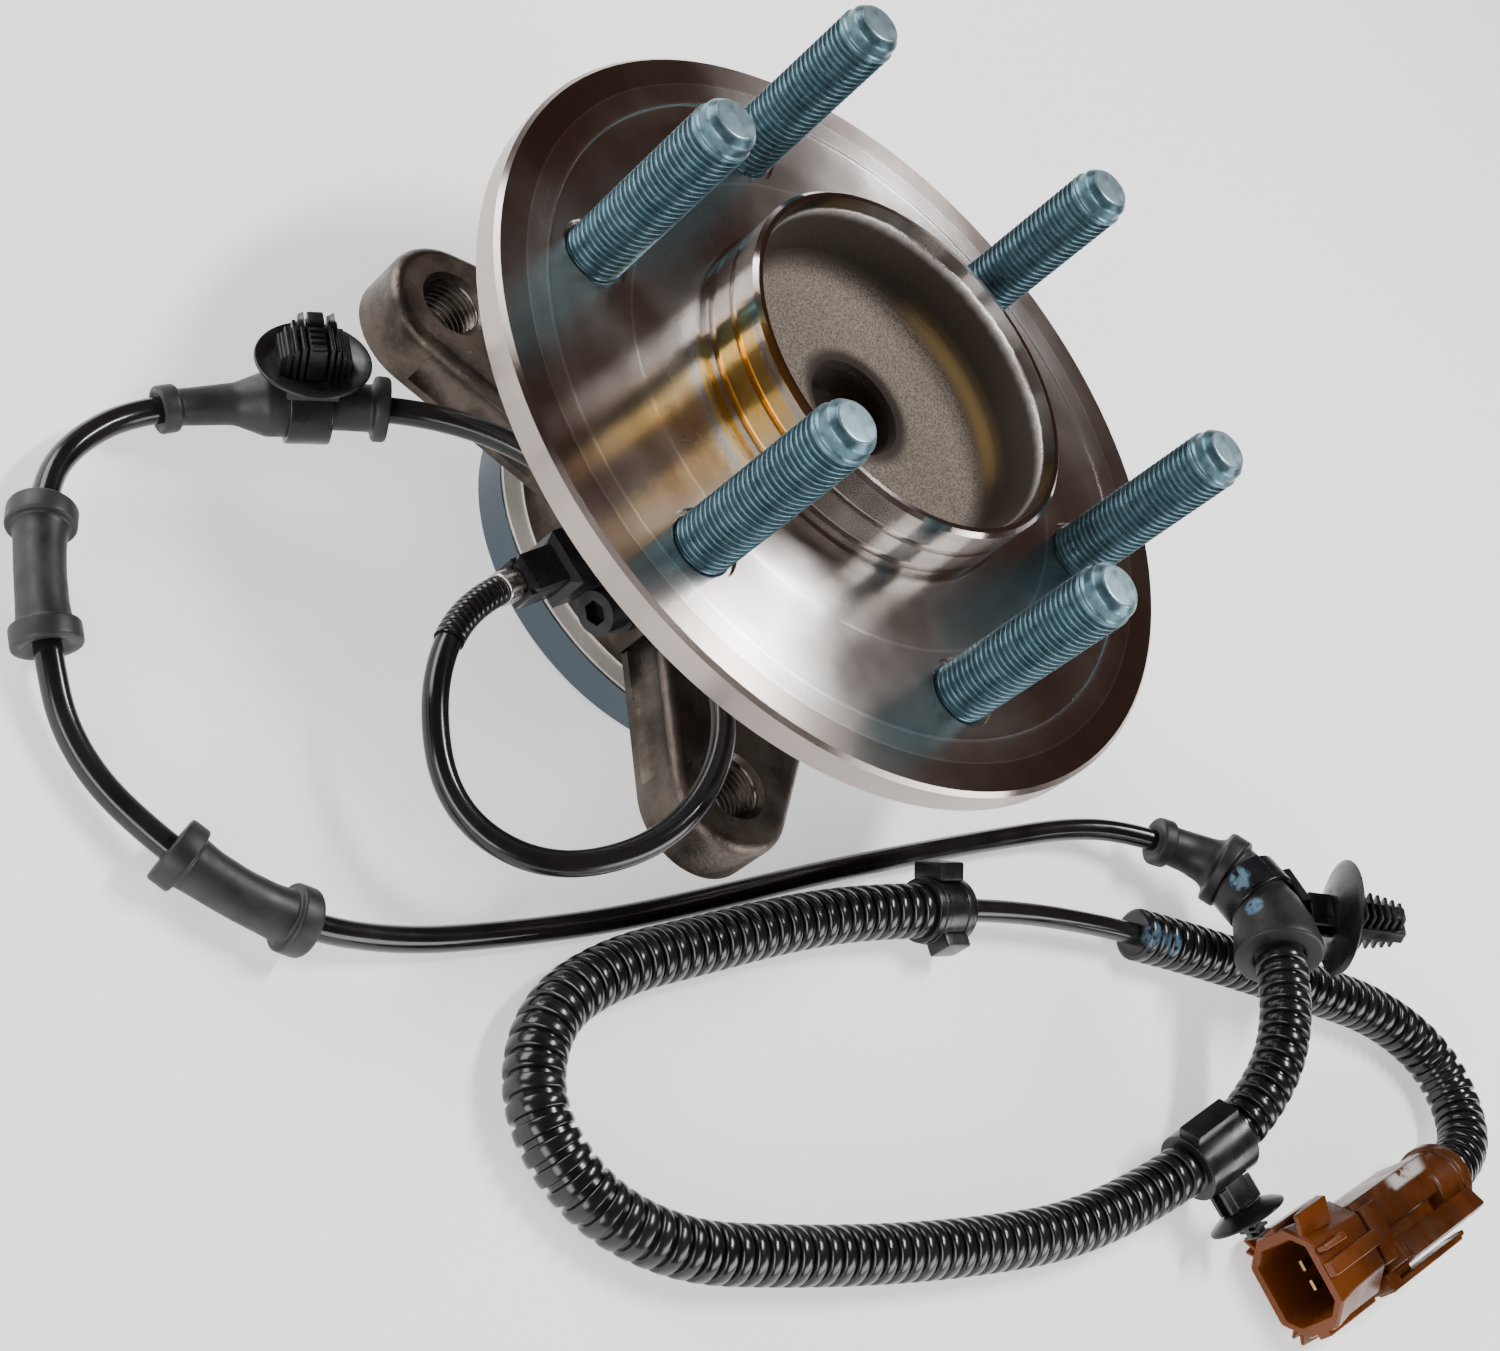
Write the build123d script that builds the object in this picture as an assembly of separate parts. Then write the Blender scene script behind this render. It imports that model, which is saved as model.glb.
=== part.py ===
from build123d import *
import math
import os

# Wheel hub bearing: six-stud flanged hub, double-row ball bearing, four-eared outer ring
# and a wheel-speed sensor with its harness. Millimetres, +Z outboard along the hub axis,
# origin on that axis in the plane of the knuckle pilot's inboard face.

# ---- wheel side ----------------------------------------------------------------------
flange_face_z = 71.0
flange_radius = 94.5
flange_rim_thickness = 7.2
flange_thickness = 9.5
flange_bevel = 5.0
flange_chamfer = 1.0
face_step_radius = 81.5
face_step_depth = 0.35
neck_radius = 35.0
neck_fillet = 5.0

pilot_radius = 43.95
pilot_height = 21.2
pilot_chamfer = 0.9
pilot_base_radius = 44.8
pilot_base_height = 3.2
groove_depth = 1.3
groove_width = 1.8
groove_heights = (5.4, 12.4)

cup_mouth_radius = 41.9
cup_floor_radius = 38.8
cup_floor_height = 2.0
cup_corner_radius = 6.0
dimple_radius = 11.5
dimple_depth = 15.0
dimple_edge_radius = 2.5

stud_count = 6
stud_pcd = 139.7
stud_radius = 7.0
stud_projection = 47.4
stud_nose_length = 5.4
stud_nose_radius = 6.0
stud_end_radius = 4.5
stud_end_chamfer = 1.8
stud_knurl_radius = 7.28
stud_head_radius = 9.5
stud_head_thickness = 4.5
stud_head_bevel = 0.8
stud_relief_radius = 8.4
stud_relief_depth = 1.4
stud_press_clearance = 0.02
stud_phase = 45.2
thread_pitch = 1.5
thread_depth = 0.8
thread_crest = 0.4
thread_root = 0.2
thread_start = 2.4
thread_turns = 25

# ---- bearing -------------------------------------------------------------------------
ball_diameter = 14.288
balls_per_row = 12
pitch_radius = 33.5
row_outboard_z = 44.0
row_inboard_z = 15.0
race_clearance = 0.3
race_land_depth = 4.4
spindle_radius = 24.0
spindle_bore_radius = 9.0
spindle_bore_depth = 14.0
inner_ring_low_z = 2.6
inner_ring_high_z = 24.5
swage_low_z = 0.9
swage_radius = 28.5
cage_thickness = 3.6
cage_width = 16.4
cage_end_gap = 0.7
pocket_clearance = 0.2

tone_ring_outer_radius = 31.0
tone_ring_low_z = 26.5
tone_ring_width = 6.5
tone_ring_thickness = 3.2
tone_tooth_depth = 1.6
tone_tooth_count = 44

# ---- outer ring ----------------------------------------------------------------------
ring_high_z = 57.0
ring_radius = 46.5
ring_nose_radius = 45.0
seal_space = 7.4
seal_seat_depth = 6.4
knuckle_pilot_radius = 52.0
knuckle_pilot_length = 10.5
knuckle_pilot_chamfer = 1.2

ear_front_z = 35.0
ear_thickness = 14.0
ear_half_x = 60.7
ear_half_y = 55.8
ear_radius = 15.5
ear_root_radius = 25.0
ear_root_reach = 34.0
ear_hole_radius = 7.0
ear_hole_chamfer = 1.1
ear_edge_radius = 3.0
arm_web_radius = 7.0
arm_web_depth = 2.0
arm_web_length = 34.0

# ---- seals ---------------------------------------------------------------------------
seal_case_wall = 1.0
seal_width = 4.2
seal_recess = 0.4
inboard_seal_recess = 1.6
seal_running_gap = 0.35
slinger_wall = 1.0

# ---- wheel-speed sensor --------------------------------------------------------------
sensor_azimuth = -88.5
sensor_z = 29.5
sensor_probe_radius = 5.0
sensor_bore_clearance = 0.05
sensor_air_gap = 0.8
sensor_pad_step = 5.0
sensor_pad_width = 29.0
sensor_pad_height = 17.0
sensor_plate_thickness = 3.6
sensor_plate_radius = 8.2
sensor_ear_radius = 6.2
sensor_bolt_spacing = 12.2
sensor_body_length = 12.0
sensor_body_width = 13.0
sensor_body_height = 11.5
relief_reach = 78.0
relief_width = 8.6
relief_height = 9.4
bolt_radius = 3.0
bolt_head_radius = 5.0
bolt_head_height = 6.0
bolt_socket_radius = 2.9
bolt_socket_depth = 3.4
bolt_length = 17.0
bolt_hole_depth = 8.5
bolt_clearance = 0.05
bushing_wall = 1.2
oring_section = 1.6

# ---- harness -------------------------------------------------------------------------
cable_radius = 2.8
conduit_radius = 6.5
short_conduit_radius = 6.75
grommet_bore_clearance = 0.05
spool_length = 31.0
spool_body_radius = 5.3
spool_flange_radius = 7.4
spool_flange_thickness = 4.0
spool_edge = 1.0
spool_run_indices = (14, 17)
bracket_run_index = 11
bracket_outline = [
    (6.9, -25.5), (6.9, -22.3), (5.0, -22.3), (5.0, -11.5), (6.8, -10), (6.8, 0.5),
    (4.6, 5.6), (3.8, 18.5), (5.0, 19.2), (5.0, 22.5),
]
bracket_grip_radius = 6.8
bracket_grip_station = -5.5
bracket_strap_wall = 1.5
bracket_strap_width = 9.0
bracket_base = (5.0, 13.0, 12.0)
bracket_disc_radius = 11.9
bracket_disc_thickness = 2.4
bracket_block = (9.0, 10.0, 15.0)

boot_neck_radius = 5.2
boot_neck_collar_radius = 6.3
boot_neck_collar_width = 4.0
boot_rib_radius = 9.8
boot_rib_width = 5.0
boot_body_radius = 8.2
boot_bell_start_radius = 9.0
boot_bell_radius = 11.5
boot_bell_length = 14.0
boot_lip_width = 2.0

strap_clearance = 0.05
clip_stem_radius = 3.4
boot_clip_stem_length = 7.0
conduit_clip_stem_length = 6.5
clip_disc_thickness = 1.8
clip_pin_taper = 0.55
boot_clip_run_index = 2
boot_clip_share = 0.12
boot_clip_pin_radius = 5.0
conduit_clip_pin_radius = 3.1
boot_clip_width = 8.0
boot_clip_wall = 2.4
boot_clip_disc_radius = 14.0
boot_clip_pin_length = 13.0
boot_clip_side = (0.53, 0.79, 0.25)
conduit_clip_run_index = 2
conduit_clip_share = 0.45
conduit_clip_width = 16.0
conduit_clip_wall = 2.2
conduit_clip_disc_radius = 9.0
conduit_clip_pin_length = 12.0
conduit_clip_side = (0.98, 0.05, 0.0)
end_clip_length = 12.5
end_clip_wall = 1.5
end_clip_lug = (5.0, 10.0, 8.0)
end_clip_boss = (3.6, 7.0, 8.0)
end_clip_side = (-0.86, 0.24, 0.46)
end_clip_boss_side = (0.97, -0.25, 0.0)

# ---- connector -------------------------------------------------------------------------
plug_neck_length = 14.0
plug_neck_radius = 9.2
plug_collar_radius = 10.0
plug_collar_length = 4.0
body_width = 19.0
body_height = 16.0
body_length = 40.0
body_edge_radius = 2.0
shroud_width = 25.0
shroud_height = 19.6
shroud_length = 24.0
shroud_corner = 5.5
socket_width = 18.0
socket_height = 13.0
socket_depth = 20.0
socket_corner = 3.0
rail_width = 4.0
rail_depth = 2.2
terminal_width = 2.6
terminal_thickness = 0.8
terminal_reach = 14.0
terminal_root = 4.0
terminal_spacing = 5.2
terminal_clearance = 0.05
lock_rail = (9.0, 5.0, 34.0)
lock_station = 33.0
lock_seat = 0.05

cable_route = [
    (2.04, -77.97, 29.5), (2.5, -94, 29.7), (17, -112, 26.5), (40.5, -119, 21.5),
    (60.5, -107.5, 26), (66.5, -83.5, 37), (55, -61.5, 43.5), (33, -51, 44.8),
    (10, -53, 44), (-10, -59, 43), (-29, -70, 38.5), (-45, -85.5, 27.5),
    (-64, -123.5, 9.5), (-60, -147.5, 6.5), (-46.5, -161.5, 7.5), (-24, -173.5, 7.5),
    (0, -179, 3.5), (27.5, -171, 7.5), (47, -154.5, 7.5), (57.5, -131, 4),
    (65, -104, 2.9), (72, -75, 2.9), (77.5, -43.5, 2.9), (82.8, -10, 2.9),
    (89, 23.5, 2.9), (95.5, 56, 2.9), (101.5, 80, 5.2), (108.5, 95, 8.5), (115.5, 103, 11),
]
boot_route = [(115.5, 103, 11), (124.7, 113.5, 14.3), (144, 114.5, 24.4), (157, 101.5, 26.5)]
conduit_route = [
    (157, 101.5, 26.5), (172.8, 87, 28.9), (186, 62.5, 19.5), (186.5, 33, 9),
    (182.5, 1, 6.7), (173, -29, 6.7), (161.5, -59, 6.7), (149.5, -86, 6.7),
    (138, -109, 6.7), (120.5, -124, 6.7), (98.5, -125.5, 6.7), (83, -109.5, 6.7),
    (81, -86, 6.7), (85.5, -59.5, 6.7), (90, -32, 6.8), (96.5, -5, 7.2), (106, 21, 8.3),
]
link_route = [(106, 21, 8.3), (111.8, 36.8, 8.6), (125.5, 66.5, 7.4), (133, 79.3, 7.1)]
short_conduit_route = [
    (133, 79.3, 7.1), (140.3, 91.6, 7), (154, 112.5, 7), (170, 136, 7), (186.5, 159, 7),
    (205, 170.5, 7), (222, 166.5, 7.8), (230.5, 151.5, 10.3), (229.5, 136, 10.3),
]

# ---- worked out from the values above --------------------------------------------------
ball_radius = ball_diameter / 2
plug_top = plug_neck_length + body_length + shroud_length
seal_seat_radius = neck_radius + seal_space
sensor_pad_radius = ring_radius + sensor_pad_step
race_radius = ball_radius + race_clearance
flange_back_z = flange_face_z - flange_thickness
pilot_lip_z = flange_face_z + pilot_height
cup_floor_z = flange_face_z + cup_floor_height
stud_hole_radius = stud_knurl_radius + stud_press_clearance
ear_back_z = ear_front_z - ear_thickness
ear_reach = math.hypot(ear_half_x, ear_half_y)
inner_land_radius = pitch_radius - ball_radius + race_land_depth
outer_land_radius = pitch_radius + ball_radius - race_land_depth
inner_race_floor = pitch_radius - race_radius
outer_race_floor = pitch_radius + race_radius
mid_land_radius = tone_ring_outer_radius - tone_ring_thickness
neck_step_z = row_outboard_z + cage_width / 2 + cage_end_gap
ear_centres = [(x, y) for x in (-ear_half_x, ear_half_x) for y in (-ear_half_y, ear_half_y)]


def revolved(outline):
    """Solid of revolution about Z from a closed (radius, height) outline."""
    return revolve(make_face(Polyline(*[(r, 0, z) for r, z in outline], close=True)), Axis.Z)


def ring(inner, outer, low, high):
    return revolved([(inner, low), (outer, low), (outer, high), (inner, high)])


def torus_at(z, radius, minor):
    return Pos(0, 0, z) * Torus(radius, minor)


def at_sensor(shape):
    """Place a shape drawn with +X radial and Z up at the sensor's azimuth and height."""
    return Pos(0, 0, sensor_z) * Rot(0, 0, sensor_azimuth) * shape


def radial_cylinder(radius, start, end, side=0.0):
    centre = Pos((start + end) / 2, side, 0)
    return centre * Rot(0, 90, 0) * Cylinder(radius, end - start)


def radial_block(start, end, width, height, side=0.0):
    return Pos((start + end) / 2, side, 0) * Box(end - start, width, height)


# ---- hub -------------------------------------------------------------------------------
def stud_places():
    """Positions of the wheel studs round the hub axis."""
    return PolarLocations(stud_pcd / 2, stud_count, start_angle=stud_phase)


def hub_outline():
    """Half section of the hub forging, from the spindle's end round to the cup floor."""
    rim_low_z = flange_face_z - flange_rim_thickness
    lip_inner = cup_mouth_radius
    outline = [
        (0, swage_low_z + spindle_bore_depth),
        (spindle_bore_radius, swage_low_z + spindle_bore_depth),
        (spindle_bore_radius, swage_low_z),
        (swage_radius - 1.5, swage_low_z),
        (swage_radius, inner_ring_low_z),
        (spindle_radius, inner_ring_low_z),
        (spindle_radius, inner_ring_high_z),
        (mid_land_radius, inner_ring_high_z),
        (mid_land_radius, row_outboard_z),
        (inner_land_radius, row_outboard_z),
        (inner_land_radius, neck_step_z),
        (neck_radius, neck_step_z),
        (neck_radius, flange_back_z - neck_fillet),
        (neck_radius + neck_fillet, flange_back_z),
        (flange_radius - flange_bevel, flange_back_z),
        (flange_radius, rim_low_z),
        (flange_radius, flange_face_z - flange_chamfer),
        (flange_radius - flange_chamfer, flange_face_z),
        (face_step_radius, flange_face_z),
        (face_step_radius - face_step_depth, flange_face_z - face_step_depth),
        (pilot_base_radius, flange_face_z - face_step_depth),
        (pilot_base_radius, flange_face_z + pilot_base_height),
        (pilot_radius, flange_face_z + pilot_base_height),
    ]
    for height in groove_heights:
        low = flange_face_z + height
        outline += [
            (pilot_radius, low),
            (pilot_radius - groove_depth, low + groove_width / 4),
            (pilot_radius - groove_depth, low + groove_width * 3 / 4),
            (pilot_radius, low + groove_width),
        ]
    outline += [
        (pilot_radius, pilot_lip_z - pilot_chamfer),
        (pilot_radius - pilot_chamfer, pilot_lip_z),
        (lip_inner, pilot_lip_z),
        (cup_floor_radius, cup_floor_z + cup_corner_radius),
    ]
    for step in range(1, 5):
        turn = math.radians(90 * step / 5)
        outline.append((
            cup_floor_radius - cup_corner_radius * (1 - math.cos(turn)),
            cup_floor_z + cup_corner_radius * (1 - math.sin(turn)),
        ))
    outline += [
        (cup_floor_radius - cup_corner_radius, cup_floor_z),
        (dimple_radius + dimple_edge_radius, cup_floor_z),
        (dimple_radius + dimple_edge_radius * 0.3, cup_floor_z - dimple_edge_radius * 0.3),
        (dimple_radius, cup_floor_z - dimple_edge_radius),
        (dimple_radius * 0.86, cup_floor_z - dimple_depth * 0.6),
        (dimple_radius * 0.45, cup_floor_z - dimple_depth),
        (0, cup_floor_z - dimple_depth),
    ]
    return outline


def make_hub():
    hub = revolved(hub_outline())
    hub -= torus_at(row_outboard_z, pitch_radius, race_radius)
    hole = Pos(0, 0, flange_face_z - flange_thickness / 2) * Cylinder(
        stud_hole_radius, flange_thickness * 2)
    relief = Pos(0, 0, flange_face_z - stud_relief_depth / 2) * Cylinder(
        stud_relief_radius, stud_relief_depth)
    return hub - stud_places() * (hole + relief)


def thread_outline(low):
    """One groove for each thread turn, as (radius, height) points upwards from low."""
    flank = (thread_pitch - thread_crest - thread_root) / 2
    outline = []
    for turn in range(thread_turns):
        start = low + turn * thread_pitch + thread_crest
        outline += [
            (stud_radius, start),
            (stud_radius - thread_depth, start + flank),
            (stud_radius - thread_depth, start + flank + thread_root),
            (stud_radius, start + 2 * flank + thread_root),
        ]
    return outline


def make_studs():
    """Six pressed-in studs, each a separate solid."""
    tip = flange_face_z + stud_projection
    nose = tip - stud_nose_length
    knurl_top = flange_face_z - stud_relief_depth
    head_low = flange_back_z - stud_head_thickness
    stud = revolved([
        (0, head_low),
        (stud_head_radius - stud_head_bevel, head_low),
        (stud_head_radius, head_low + stud_head_bevel),
        (stud_head_radius, flange_back_z),
        (stud_knurl_radius, flange_back_z),
        (stud_knurl_radius, knurl_top),
        (stud_radius, knurl_top),
    ] + thread_outline(flange_face_z + thread_start) + [
        (stud_radius, nose - stud_head_bevel),
        (stud_nose_radius, nose),
        (stud_nose_radius, tip - stud_end_chamfer),
        (stud_end_radius, tip),
        (0, tip),
    ])
    return Compound(stud_places() * stud)


# ---- bearing ---------------------------------------------------------------------------
def make_inner_ring():
    """Inboard raceway, pressed on the spindle and held by its rolled end."""
    body = revolved([
        (spindle_radius + stud_press_clearance, inner_ring_low_z),
        (inner_land_radius, inner_ring_low_z),
        (inner_land_radius, row_inboard_z),
        (mid_land_radius, row_inboard_z),
        (mid_land_radius, inner_ring_high_z),
        (spindle_radius + stud_press_clearance, inner_ring_high_z),
    ])
    return body - torus_at(row_inboard_z, pitch_radius, race_radius)


def make_balls(z):
    ball = Pos(0, 0, z) * Sphere(ball_radius)
    return Compound(PolarLocations(pitch_radius, balls_per_row) * ball)


def make_cage(z):
    """Moulded cage: a ring with a round pocket for every ball."""
    low = z - cage_width / 2
    body = ring(pitch_radius - cage_thickness / 2, pitch_radius + cage_thickness / 2,
                low, low + cage_width)
    pocket = Pos(0, 0, z) * Rot(0, 90, 0) * Cylinder(
        ball_radius + pocket_clearance, cage_thickness * 3)
    return body - PolarLocations(pitch_radius, balls_per_row) * pocket


def make_tone_ring():
    """Toothed ring on the spindle that the sensor reads."""
    body = ring(mid_land_radius, tone_ring_outer_radius, tone_ring_low_z,
                tone_ring_low_z + tone_ring_width)
    gap_width = math.pi * tone_ring_outer_radius / tone_tooth_count
    gap = Pos(0, 0, tone_ring_low_z + tone_ring_width / 2) * Box(
        tone_tooth_depth * 2, gap_width, tone_ring_width * 2)
    return body - PolarLocations(tone_ring_outer_radius, tone_tooth_count) * gap


# ---- outer ring ------------------------------------------------------------------------
def ring_blank():
    """Turned blank of the outer ring with its knuckle pilot and bore."""
    high_seat_z = ring_high_z - seal_seat_depth
    return revolved([
        (seal_seat_radius, 0),
        (knuckle_pilot_radius - knuckle_pilot_chamfer, 0),
        (knuckle_pilot_radius, knuckle_pilot_chamfer),
        (knuckle_pilot_radius, knuckle_pilot_length - knuckle_pilot_chamfer / 2),
        (knuckle_pilot_radius - knuckle_pilot_chamfer / 2, knuckle_pilot_length),
        (ring_radius, knuckle_pilot_length),
        (ring_radius, ear_front_z),
        (ring_nose_radius, ear_front_z + 4),
        (ring_nose_radius, ring_high_z - 0.8),
        (ring_nose_radius - 0.8, ring_high_z),
        (seal_seat_radius, ring_high_z),
        (seal_seat_radius, high_seat_z),
        (outer_race_floor - 0.4, high_seat_z),
        (outer_race_floor - 0.4, row_outboard_z),
        (outer_land_radius, row_outboard_z),
        (outer_land_radius, row_inboard_z),
        (outer_race_floor - 0.4, row_inboard_z),
        (outer_race_floor - 0.4, seal_seat_depth),
        (seal_seat_radius, seal_seat_depth),
    ])


def arm_web(side):
    """Channel along one flank of an arm, which leaves a rib above and below it."""
    lean = math.degrees(math.asin((ear_root_radius - ear_radius) / (ear_reach - ear_root_reach)))
    channel = Rot(0, 90, 0) * Cylinder(arm_web_radius, arm_web_length)
    inward = Pos(-arm_web_length / 2 - 2, side * (ear_radius + arm_web_radius - arm_web_depth), 0)
    middle = Pos(ear_reach, 0, ear_back_z + ear_thickness / 2)
    return middle * Rot(0, 0, -side * lean) * inward * channel


def ear_arm(x, y):
    """Forged arm from the ring out to one bolt ear, drawn at the ear's azimuth."""
    outline = make_hull(
        (Pos(ear_reach, 0) * Circle(ear_radius)).edges()
        + (Pos(ear_root_reach, 0) * Circle(ear_root_radius)).edges())
    arm = Pos(0, 0, ear_back_z) * extrude(outline, ear_thickness)
    arm = fillet(arm.edges().group_by(Axis.Z)[-1], ear_edge_radius)
    for side in (-1, 1):
        arm -= arm_web(side)
    return Rot(0, 0, math.degrees(math.atan2(y, x))) * arm


def ear_hole(x, y):
    mouth = ear_front_z - ear_hole_chamfer / 2
    hole = Pos(x, y, ear_front_z - ear_thickness / 2) * Cylinder(ear_hole_radius, ear_thickness * 2)
    chamfer = Pos(x, y, mouth) * Cone(
        ear_hole_radius, ear_hole_radius + ear_hole_chamfer, ear_hole_chamfer)
    return hole + chamfer


def bore_space():
    """Everything inside the ring's bore, used to trim the arms and the sensor pad."""
    return Pos(0, 0, ring_high_z / 2) * Cylinder(outer_race_floor + 1.5, ring_high_z * 2)


def make_outer_ring():
    solid = ring_blank()
    for x, y in ear_centres:
        solid += ear_arm(x, y) - bore_space()
    pad = at_sensor(radial_block(ring_radius - 3, sensor_pad_radius, sensor_pad_width,
                                 sensor_pad_height, sensor_bolt_spacing / 2))
    solid += pad
    for x, y in ear_centres:
        solid -= ear_hole(x, y)
    solid -= torus_at(row_outboard_z, pitch_radius, race_radius)
    solid -= torus_at(row_inboard_z, pitch_radius, race_radius)
    solid -= at_sensor(radial_cylinder(
        sensor_probe_radius + sensor_bore_clearance, pitch_radius, sensor_pad_radius + 1))
    solid -= at_sensor(radial_cylinder(
        bolt_radius + bolt_clearance, sensor_pad_radius - bolt_hole_depth, sensor_pad_radius + 1,
        sensor_bolt_spacing))
    return solid


# ---- seals -----------------------------------------------------------------------------
def make_seal_case(low, high):
    """Pressed steel seal case in the ring's seat, open towards the balls."""
    outer = seal_seat_radius - stud_press_clearance
    return ring(outer - seal_case_wall, outer, low, high)


def make_seal_lip(low, high, shaft):
    """Moulded rubber between the case and the running surface."""
    outer = seal_seat_radius - stud_press_clearance - seal_case_wall
    mid = (low + high) / 2
    return revolved([
        (outer, low), (outer, high), (shaft + 2.4, high), (shaft + seal_running_gap, mid + 1.0),
        (shaft + seal_running_gap, mid - 1.0), (shaft + 2.4, low),
    ])


def make_slinger(shaft, wall, low, high):
    """Thin sleeve pressed on the rotating side, which the lip runs against."""
    return ring(shaft + stud_press_clearance, shaft + wall, low, high)


# ---- sensor ----------------------------------------------------------------------------
def make_sensor():
    """Moulded sensor: probe, mounting plate, body and cable relief."""
    plate_top = sensor_pad_radius + sensor_plate_thickness
    body_top = plate_top + sensor_body_length
    tip = tone_ring_outer_radius + sensor_air_gap
    outline = make_hull(
        Circle(sensor_plate_radius).edges()
        + (Pos(0, sensor_bolt_spacing) * Circle(sensor_ear_radius)).edges())
    plate = Pos(sensor_pad_radius, 0, 0) * Rot(0, 90, 0) * extrude(outline, sensor_plate_thickness)
    solid = radial_cylinder(sensor_probe_radius, tip, sensor_pad_radius) + plate
    body = radial_block(plate_top, body_top, sensor_body_width, sensor_body_height)
    solid += chamfer(body.edges().group_by(Axis.X)[-1], 1.6)
    relief = radial_block(body_top, relief_reach, relief_width, relief_height)
    solid += chamfer(relief.edges().group_by(Axis.X)[-1], 1.2)
    clearance = bolt_radius + bolt_clearance + bushing_wall
    solid -= radial_cylinder(clearance, sensor_pad_radius - 1, plate_top + 1, sensor_bolt_spacing)
    groove = sensor_pad_radius - 5.0
    solid -= radial_cylinder(sensor_probe_radius + 1, groove - oring_section / 2,
                             groove + oring_section / 2) - radial_cylinder(
        sensor_probe_radius - oring_section, groove - oring_section, groove + oring_section)
    return at_sensor(solid)


def make_sensor_oring():
    groove = sensor_pad_radius - 5.0
    shape = radial_cylinder(sensor_probe_radius, groove - oring_section / 2,
                            groove + oring_section / 2)
    shape -= radial_cylinder(sensor_probe_radius - oring_section, groove - oring_section,
                             groove + oring_section)
    return at_sensor(shape)


def make_sensor_bushing():
    plate_top = sensor_pad_radius + sensor_plate_thickness
    inner = bolt_radius + bolt_clearance
    tube = radial_cylinder(inner + bushing_wall, sensor_pad_radius, plate_top, sensor_bolt_spacing)
    bore = radial_cylinder(inner, sensor_pad_radius - 1, plate_top + 1, sensor_bolt_spacing)
    return at_sensor(tube - bore)


def make_sensor_bolt():
    """Socket-head bolt through the sensor's plate into the ring's pad."""
    seat = sensor_pad_radius + sensor_plate_thickness
    top = seat + bolt_head_height
    shank = radial_cylinder(bolt_radius, seat - bolt_length + bolt_head_height, seat,
                            sensor_bolt_spacing)
    head = radial_cylinder(bolt_head_radius, seat, top, sensor_bolt_spacing)
    socket = Pos(top - bolt_socket_depth, sensor_bolt_spacing, 0) * Rot(0, 90, 0) * extrude(
        RegularPolygon(bolt_socket_radius, 6), bolt_socket_depth + 1)
    return at_sensor(shank + head - socket)


# ---- harness ---------------------------------------------------------------------------
def bend_radii(route):
    """Largest tangent arc at each inner point: 0.45 of the shorter run over tan(half turn)."""
    radii = []
    for before, point, after in zip(route, route[1:], route[2:]):
        run_in = Vector(*point) - Vector(*before)
        run_out = Vector(*after) - Vector(*point)
        half_turn = math.radians(run_in.get_angle(run_out)) / 2
        radii.append(0.45 * min(run_in.length, run_out.length) / math.tan(half_turn))
    return radii


def tube(route, radius):
    path = FilletPolyline(*route, radius=bend_radii(route))
    start = Plane(origin=route[0], z_dir=Vector(*route[1]) - Vector(*route[0]))
    return sweep(start * Circle(radius), path=path)


def report_cord(name, solid, route, radius):
    path = FilletPolyline(*route, radius=bend_radii(route))
    expected = math.pi * radius ** 2 * path.length
    radii = " ".join(f"{r:.0f}" for r in bend_radii(route))
    print(f"{name}: length {path.length:.1f} volume ratio {solid.volume / expected:.5f} radii {radii}")


def run_plane(route, index, share=0.5, up=(0, 0, 1)):
    """Plane part way along one run, +Z along the run and +X as near to up as it can be."""
    start = Vector(*route[index])
    along = Vector(*route[index + 1]) - start
    axis = along.normalized()
    lift = Vector(*up)
    side = (lift - axis * lift.dot(axis)).normalized()
    return Plane(origin=start + along * share, x_dir=side, z_dir=axis)


def lathe(outline):
    """Solid of revolution about local Z from (radius, height) points, closed on the axis."""
    low = outline[0][1]
    high = outline[-1][1]
    return revolved([(0, low)] + outline + [(0, high)])


def cable_bore():
    return tube(cable_route, cable_radius + grommet_bore_clearance)


def make_spool(index, bore):
    """Rubber spool grommet moulded round the cable."""
    half = spool_length / 2
    edge = spool_edge
    neck = half - spool_flange_thickness
    outline = [
        (spool_flange_radius - edge, -half), (spool_flange_radius, -half + edge),
        (spool_flange_radius, -neck - edge), (spool_flange_radius - edge, -neck),
        (spool_body_radius, -neck), (spool_body_radius, neck),
        (spool_flange_radius - edge, neck), (spool_flange_radius, neck + edge),
        (spool_flange_radius, half - edge), (spool_flange_radius - edge, half),
    ]
    return run_plane(cable_route, index) * lathe(outline) - bore


def make_bracket_grommet(bore):
    """Long grommet with a collar at one end and a tapered tail."""
    return run_plane(cable_route, bracket_run_index) * lathe(bracket_outline) - bore


def make_bracket_clip():
    """Edge clip on the long grommet: strap, base, disc and ribbed block."""
    station = Pos(0, 0, bracket_grip_station)
    inner = bracket_grip_radius + strap_clearance
    outer = inner + bracket_strap_wall
    depth, width, height = bracket_base
    block_depth, block_width, block_height = bracket_block
    strap = Cylinder(outer, bracket_strap_width) - Cylinder(inner, bracket_strap_width + 1)
    base = Pos(inner + 0.7 + depth / 2, 0, 0) * Box(depth, width, height)
    disc_low = inner + 0.7 + depth
    disc = radial_cylinder(bracket_disc_radius, disc_low, disc_low + bracket_disc_thickness)
    block_low = disc_low + bracket_disc_thickness
    block = Pos(block_low + block_depth / 2, 0, 0) * Box(block_depth, block_width, block_height)
    return run_plane(cable_route, bracket_run_index) * station * (strap + base + disc + block)


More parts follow.
